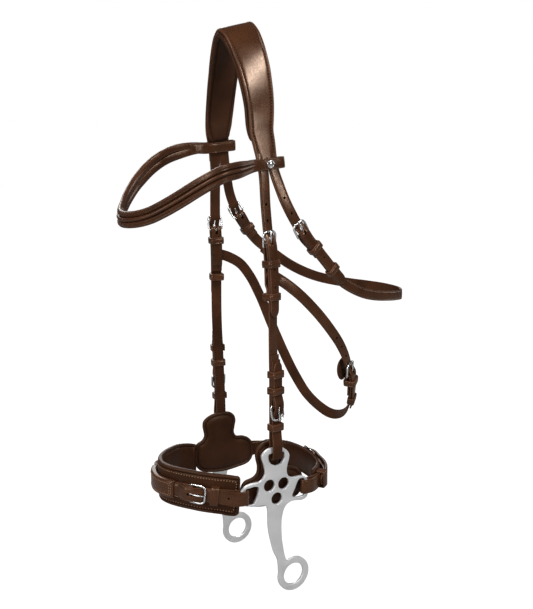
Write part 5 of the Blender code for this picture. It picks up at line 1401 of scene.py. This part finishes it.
def nose_billet(mirror, side):
    """Strap from the plate's front bar, doubled back and over the noseband buckle."""
    plate_bar = NOSE.near((64.9, FRONT_BAR_Y, -1))
    plate_out = PLATE_X - 64.9
    low = NOSE_T / 2 + GAP + STRAP_T / 2 + 0.1
    high = low + STRAP_T + 0.4
    path = [(NOSE_BAR - 21.5, low), (plate_bar + 18, low)] + slot_turn(plate_bar, plate_out, 4.3)
    path += [(NOSE_BAR - 32, high), (NOSE_BAR - 23.5, high), (NOSE_BAR - 18.5, 6.7),
             (NOSE_BAR - 15, 6.7), (NOSE_BAR - 9.5, BILLET_BAR - 2.7), (NOSE_BAR - 3, BILLET_BAR),
             (NOSE_BAR + 4, BILLET_BAR), (NOSE_BAR + 13, BILLET_TIP), (NOSE_BAR + 26, BILLET_TIP)]
    cuts = [hole(NOSE, NOSE_BAR - 4.4, BILLET_BAR - 1.2, 1.7, stretch=5.2, depth=4.8),
            hole(NOSE, plate_bar + 14.5, plate_out + 3.0, 1.4, depth=2.9)]
    strap("noseband_billet_" + side, NOSE, path, NOSE_STRAP_HALF, STRAP_T, cuts, tip=7,
          mirror=mirror, node="noseband_strap_" + side)
    buckle("noseband_" + side, NOSE, NOSE_BAR, -1, NOSE_BAR_OUT, NOSE_STRAP_HALF, mirror, rise=1.8)
    keeper("noseband_keeper_" + side, NOSE, NOSE_BAR - BUCKLE_L - 10, NOSE_STRAP_HALF,
           NOSE_T / 2 + 0.2, low + 1.5 * STRAP_T + 0.6, mirror, arch=True)


nose_panel()
nose_base()
nose_sleeve()
for mirror, side in SIDES:
    nose_billet(mirror, side)

# ---------------------------------------------------------------- chin strap


def chin_face(distance):
    return piped(distance, edge=3.2, base=0.1, pipe=2.3, radius=1.75, floor=1.2, gain=1.9,
                 reach=1.4)


def chin_back(distance):
    return piped(distance, edge=3.2, base=0.1, pipe=2.3, radius=1.75, floor=1.2, gain=2.2,
                 reach=2.4)


def chin_pad():
    """Cushion that widens, mostly on one side, over 30 mm from each end."""
    start = CHIN.near((61.5, 57, -4))
    end = CHIN.length - start
    mesh = panel(CHIN, start, end, lambda e: 13 + 4.75 * min(1.0, e / 30.0), chin_face, chin_back,
                 corner=6.0, drop=lambda e: -4.25 * min(1.0, e / 30.0))
    build("chin_cushion", mesh, PAD_LEATHER_SHADED, node="chin_pad", angle=75)
    along = np.linspace(start + 5, end - 5, 60)
    grown = np.minimum(1.0, np.minimum(along - start, end - along) / 30.0)
    rows = [CHIN.row(along, sign * (13 + 4.75 * grown - 3.35) - 4.25 * grown,
                     face * (height - 0.05), side=face)
            for sign in (-1, 1) for face, height in ((1, chin_face(3.4)), (-1, chin_back(3.4)))]
    stitches("chin_stitching", rows, SHADE_DARK_THREAD, radius=0.36, pitch=3.2, body="chin")


def chin_straps():
    """Two straps from the plates' rear bars; the left one carries the buckle."""
    length = CHIN.length
    plate_bar = CHIN.near((64.5, REAR_BAR_Y, -4))
    plate_out = PLATE_X - 64.5
    bend = 3.85
    bar = length / 2 - 2
    low = 3.5 + GAP + STRAP_T / 2
    doubled = low + STRAP_T + 0.45
    tip = doubled + STRAP_T + 0.6
    bar_out = low + BAR_DROP
    leg = low + 2 * BAR_DROP
    path = [(plate_bar + 34, low), (plate_bar + 14, low)] + slot_turn(plate_bar, plate_out, 4.1)
    path += [(plate_bar + 6, plate_out + bend), (plate_bar + 16.5, doubled),
             (plate_bar + 38, doubled), (plate_bar + 48, low)]
    left = path + [(bar - 8, low)] + fold(bar, bar_out, BAR_DROP, 1)
    left += [(bar - 11, low + STRAP_T + 0.2)]
    strap("chin_left", CHIN, left, NOSE_STRAP_HALF, STRAP_T,
          [tongue_slot(CHIN, bar, 1, bar_out)], node="chin_strap_left")
    buckle("chin", CHIN, bar, 1, bar_out, NOSE_STRAP_HALF)
    right = [(length - along, out) for along, out in path]
    right += [(bar + BUCKLE_L + 5, low + 1.5), (bar + BUCKLE_L - 2.5, leg + DIP),
              (bar + 10, leg + 0.2), (bar + 3, leg + OVER), (bar - 3, leg + OVER),
              (bar - 16, tip), (plate_bar + 19, tip)]
    strap("chin_right", CHIN, right, NOSE_STRAP_HALF, STRAP_T,
          [hole(CHIN, bar + 5.6, leg + 1.2, 1.6, stretch=3.8, depth=4.6)], tip=7,
          node="chin_strap_right")
    keeper("chin_keeper", CHIN, plate_bar + 25.5, NOSE_STRAP_HALF, low - STRAP_T / 2 + 0.1,
           tip + STRAP_T / 2 + 0.3, arch=True)


chin_pad()
chin_straps()

# ---------------------------------------------------------------- stage (metres)
FLOOR_HALF, FLOOR_GAP = 9, 0.0005
AMBIENT = 0.07                                  # world strength off camera


def camera_ray(tree):
    return tree.nodes.new("ShaderNodeLightPath").outputs["Is Camera Ray"]


def stage_floor():
    """Floor that looks white to the camera but lights the bridle as a mid grey."""
    material, tree, shader = new_material("stage_white")
    seen = camera_ray(tree)
    feed(tree, shader, {
        "Roughness": 0.9,
        "Specular IOR Level": 0.0,
        "Emission Color": (1, 1, 1),
        "Emission Strength": maths(tree, "MULTIPLY", seen, 1.02),
        "Base Color": mix(tree, seen, (0.36, 0.36, 0.36), (0.1, 0.1, 0.1))})
    data = bpy.data.meshes.new("stage_floor")
    z = CAD_LOW[2] - FLOOR_GAP
    corners = ((-1, -1), (1, -1), (1, 1), (-1, 1))
    data.from_pydata([(x * FLOOR_HALF, y * FLOOR_HALF, z) for x, y in corners], [],
                     [(0, 1, 2, 3)])
    data.materials.append(material)
    floor = bpy.data.objects.new("stage_floor", data)
    bpy.context.scene.collection.objects.link(floor)


def studio_world():
    world = bpy.data.worlds.new("studio")
    bpy.context.scene.world = world
    world.use_nodes = True
    tree = world.node_tree
    feed(tree, tree.nodes["Background"], {
        "Color": (1, 1, 1), "Strength": maths(tree, "MAXIMUM", camera_ray(tree), AMBIENT)})


def light(name, place, target, size, power):
    """Area light; size is (width, height), power in watts."""
    data = bpy.data.lights.new(name, "AREA")
    data.shape = "RECTANGLE"
    data.size, data.size_y = size
    data.energy = power
    ob = bpy.data.objects.new(name, data)
    bpy.context.scene.collection.objects.link(ob)
    ob.location = place
    ob.rotation_euler = (Vector(target) - Vector(place)).to_track_quat("-Z", "Y").to_euler()


# name, place, target, (width, height), watts
LIGHTS = (
    ("key", (1.165, 0.36, 1.69), (0.045, -0.042, 0.6), (0.42, 0.24), 16),
    ("low", (1.51, 0.545, 0.82), (0.065, -0.02, 0.48), (0.22, 0.28), 4.8),
    ("fill", (1.1, -1.5, 1.0), (0, 0, 0.3), (0.9, 0.9), 13.5),
    ("front", (0.3, -1.9, 0.6), (0, -0.05, 0.25), (0.4, 1.1), 10),
    ("top", (0.45, -0.95, 1.9), (0, -0.05, 0.4), (0.3, 0.3), 11),
    ("back", (-1.4, -0.1, 1.4), (0, 0, 0.35), (0.8, 0.3), 6),
    ("rear_left", (-1.7, 0.5, 0.8), (0, 0, 0.3), (0.9, 0.9), 8),
    ("rear", (0.0, 1.8, 0.9), (0, 0, 0.3), (0.7, 0.7), 5.5))


def photo_camera():
    """Camera ahead of the bridle on its left, looking slightly down."""
    data = bpy.data.cameras.new("photo_camera")
    data.sensor_width = 36
    data.lens = 50.42
    data.clip_start = 0.01
    ob = bpy.data.objects.new("photo_camera", data)
    bpy.context.scene.collection.objects.link(ob)
    ob.location = (0.8930, -0.52527, 0.54539)
    towards_camera = Vector((0.85012, -0.49081, 0.19081))
    ob.rotation_euler = (-towards_camera).to_track_quat("-Z", "Y").to_euler()
    bpy.context.scene.camera = ob


stage_floor()
studio_world()
for settings in LIGHTS:
    light(*settings)
photo_camera()
view = bpy.context.scene.view_settings
view.view_transform = "Standard"
view.look = "None"
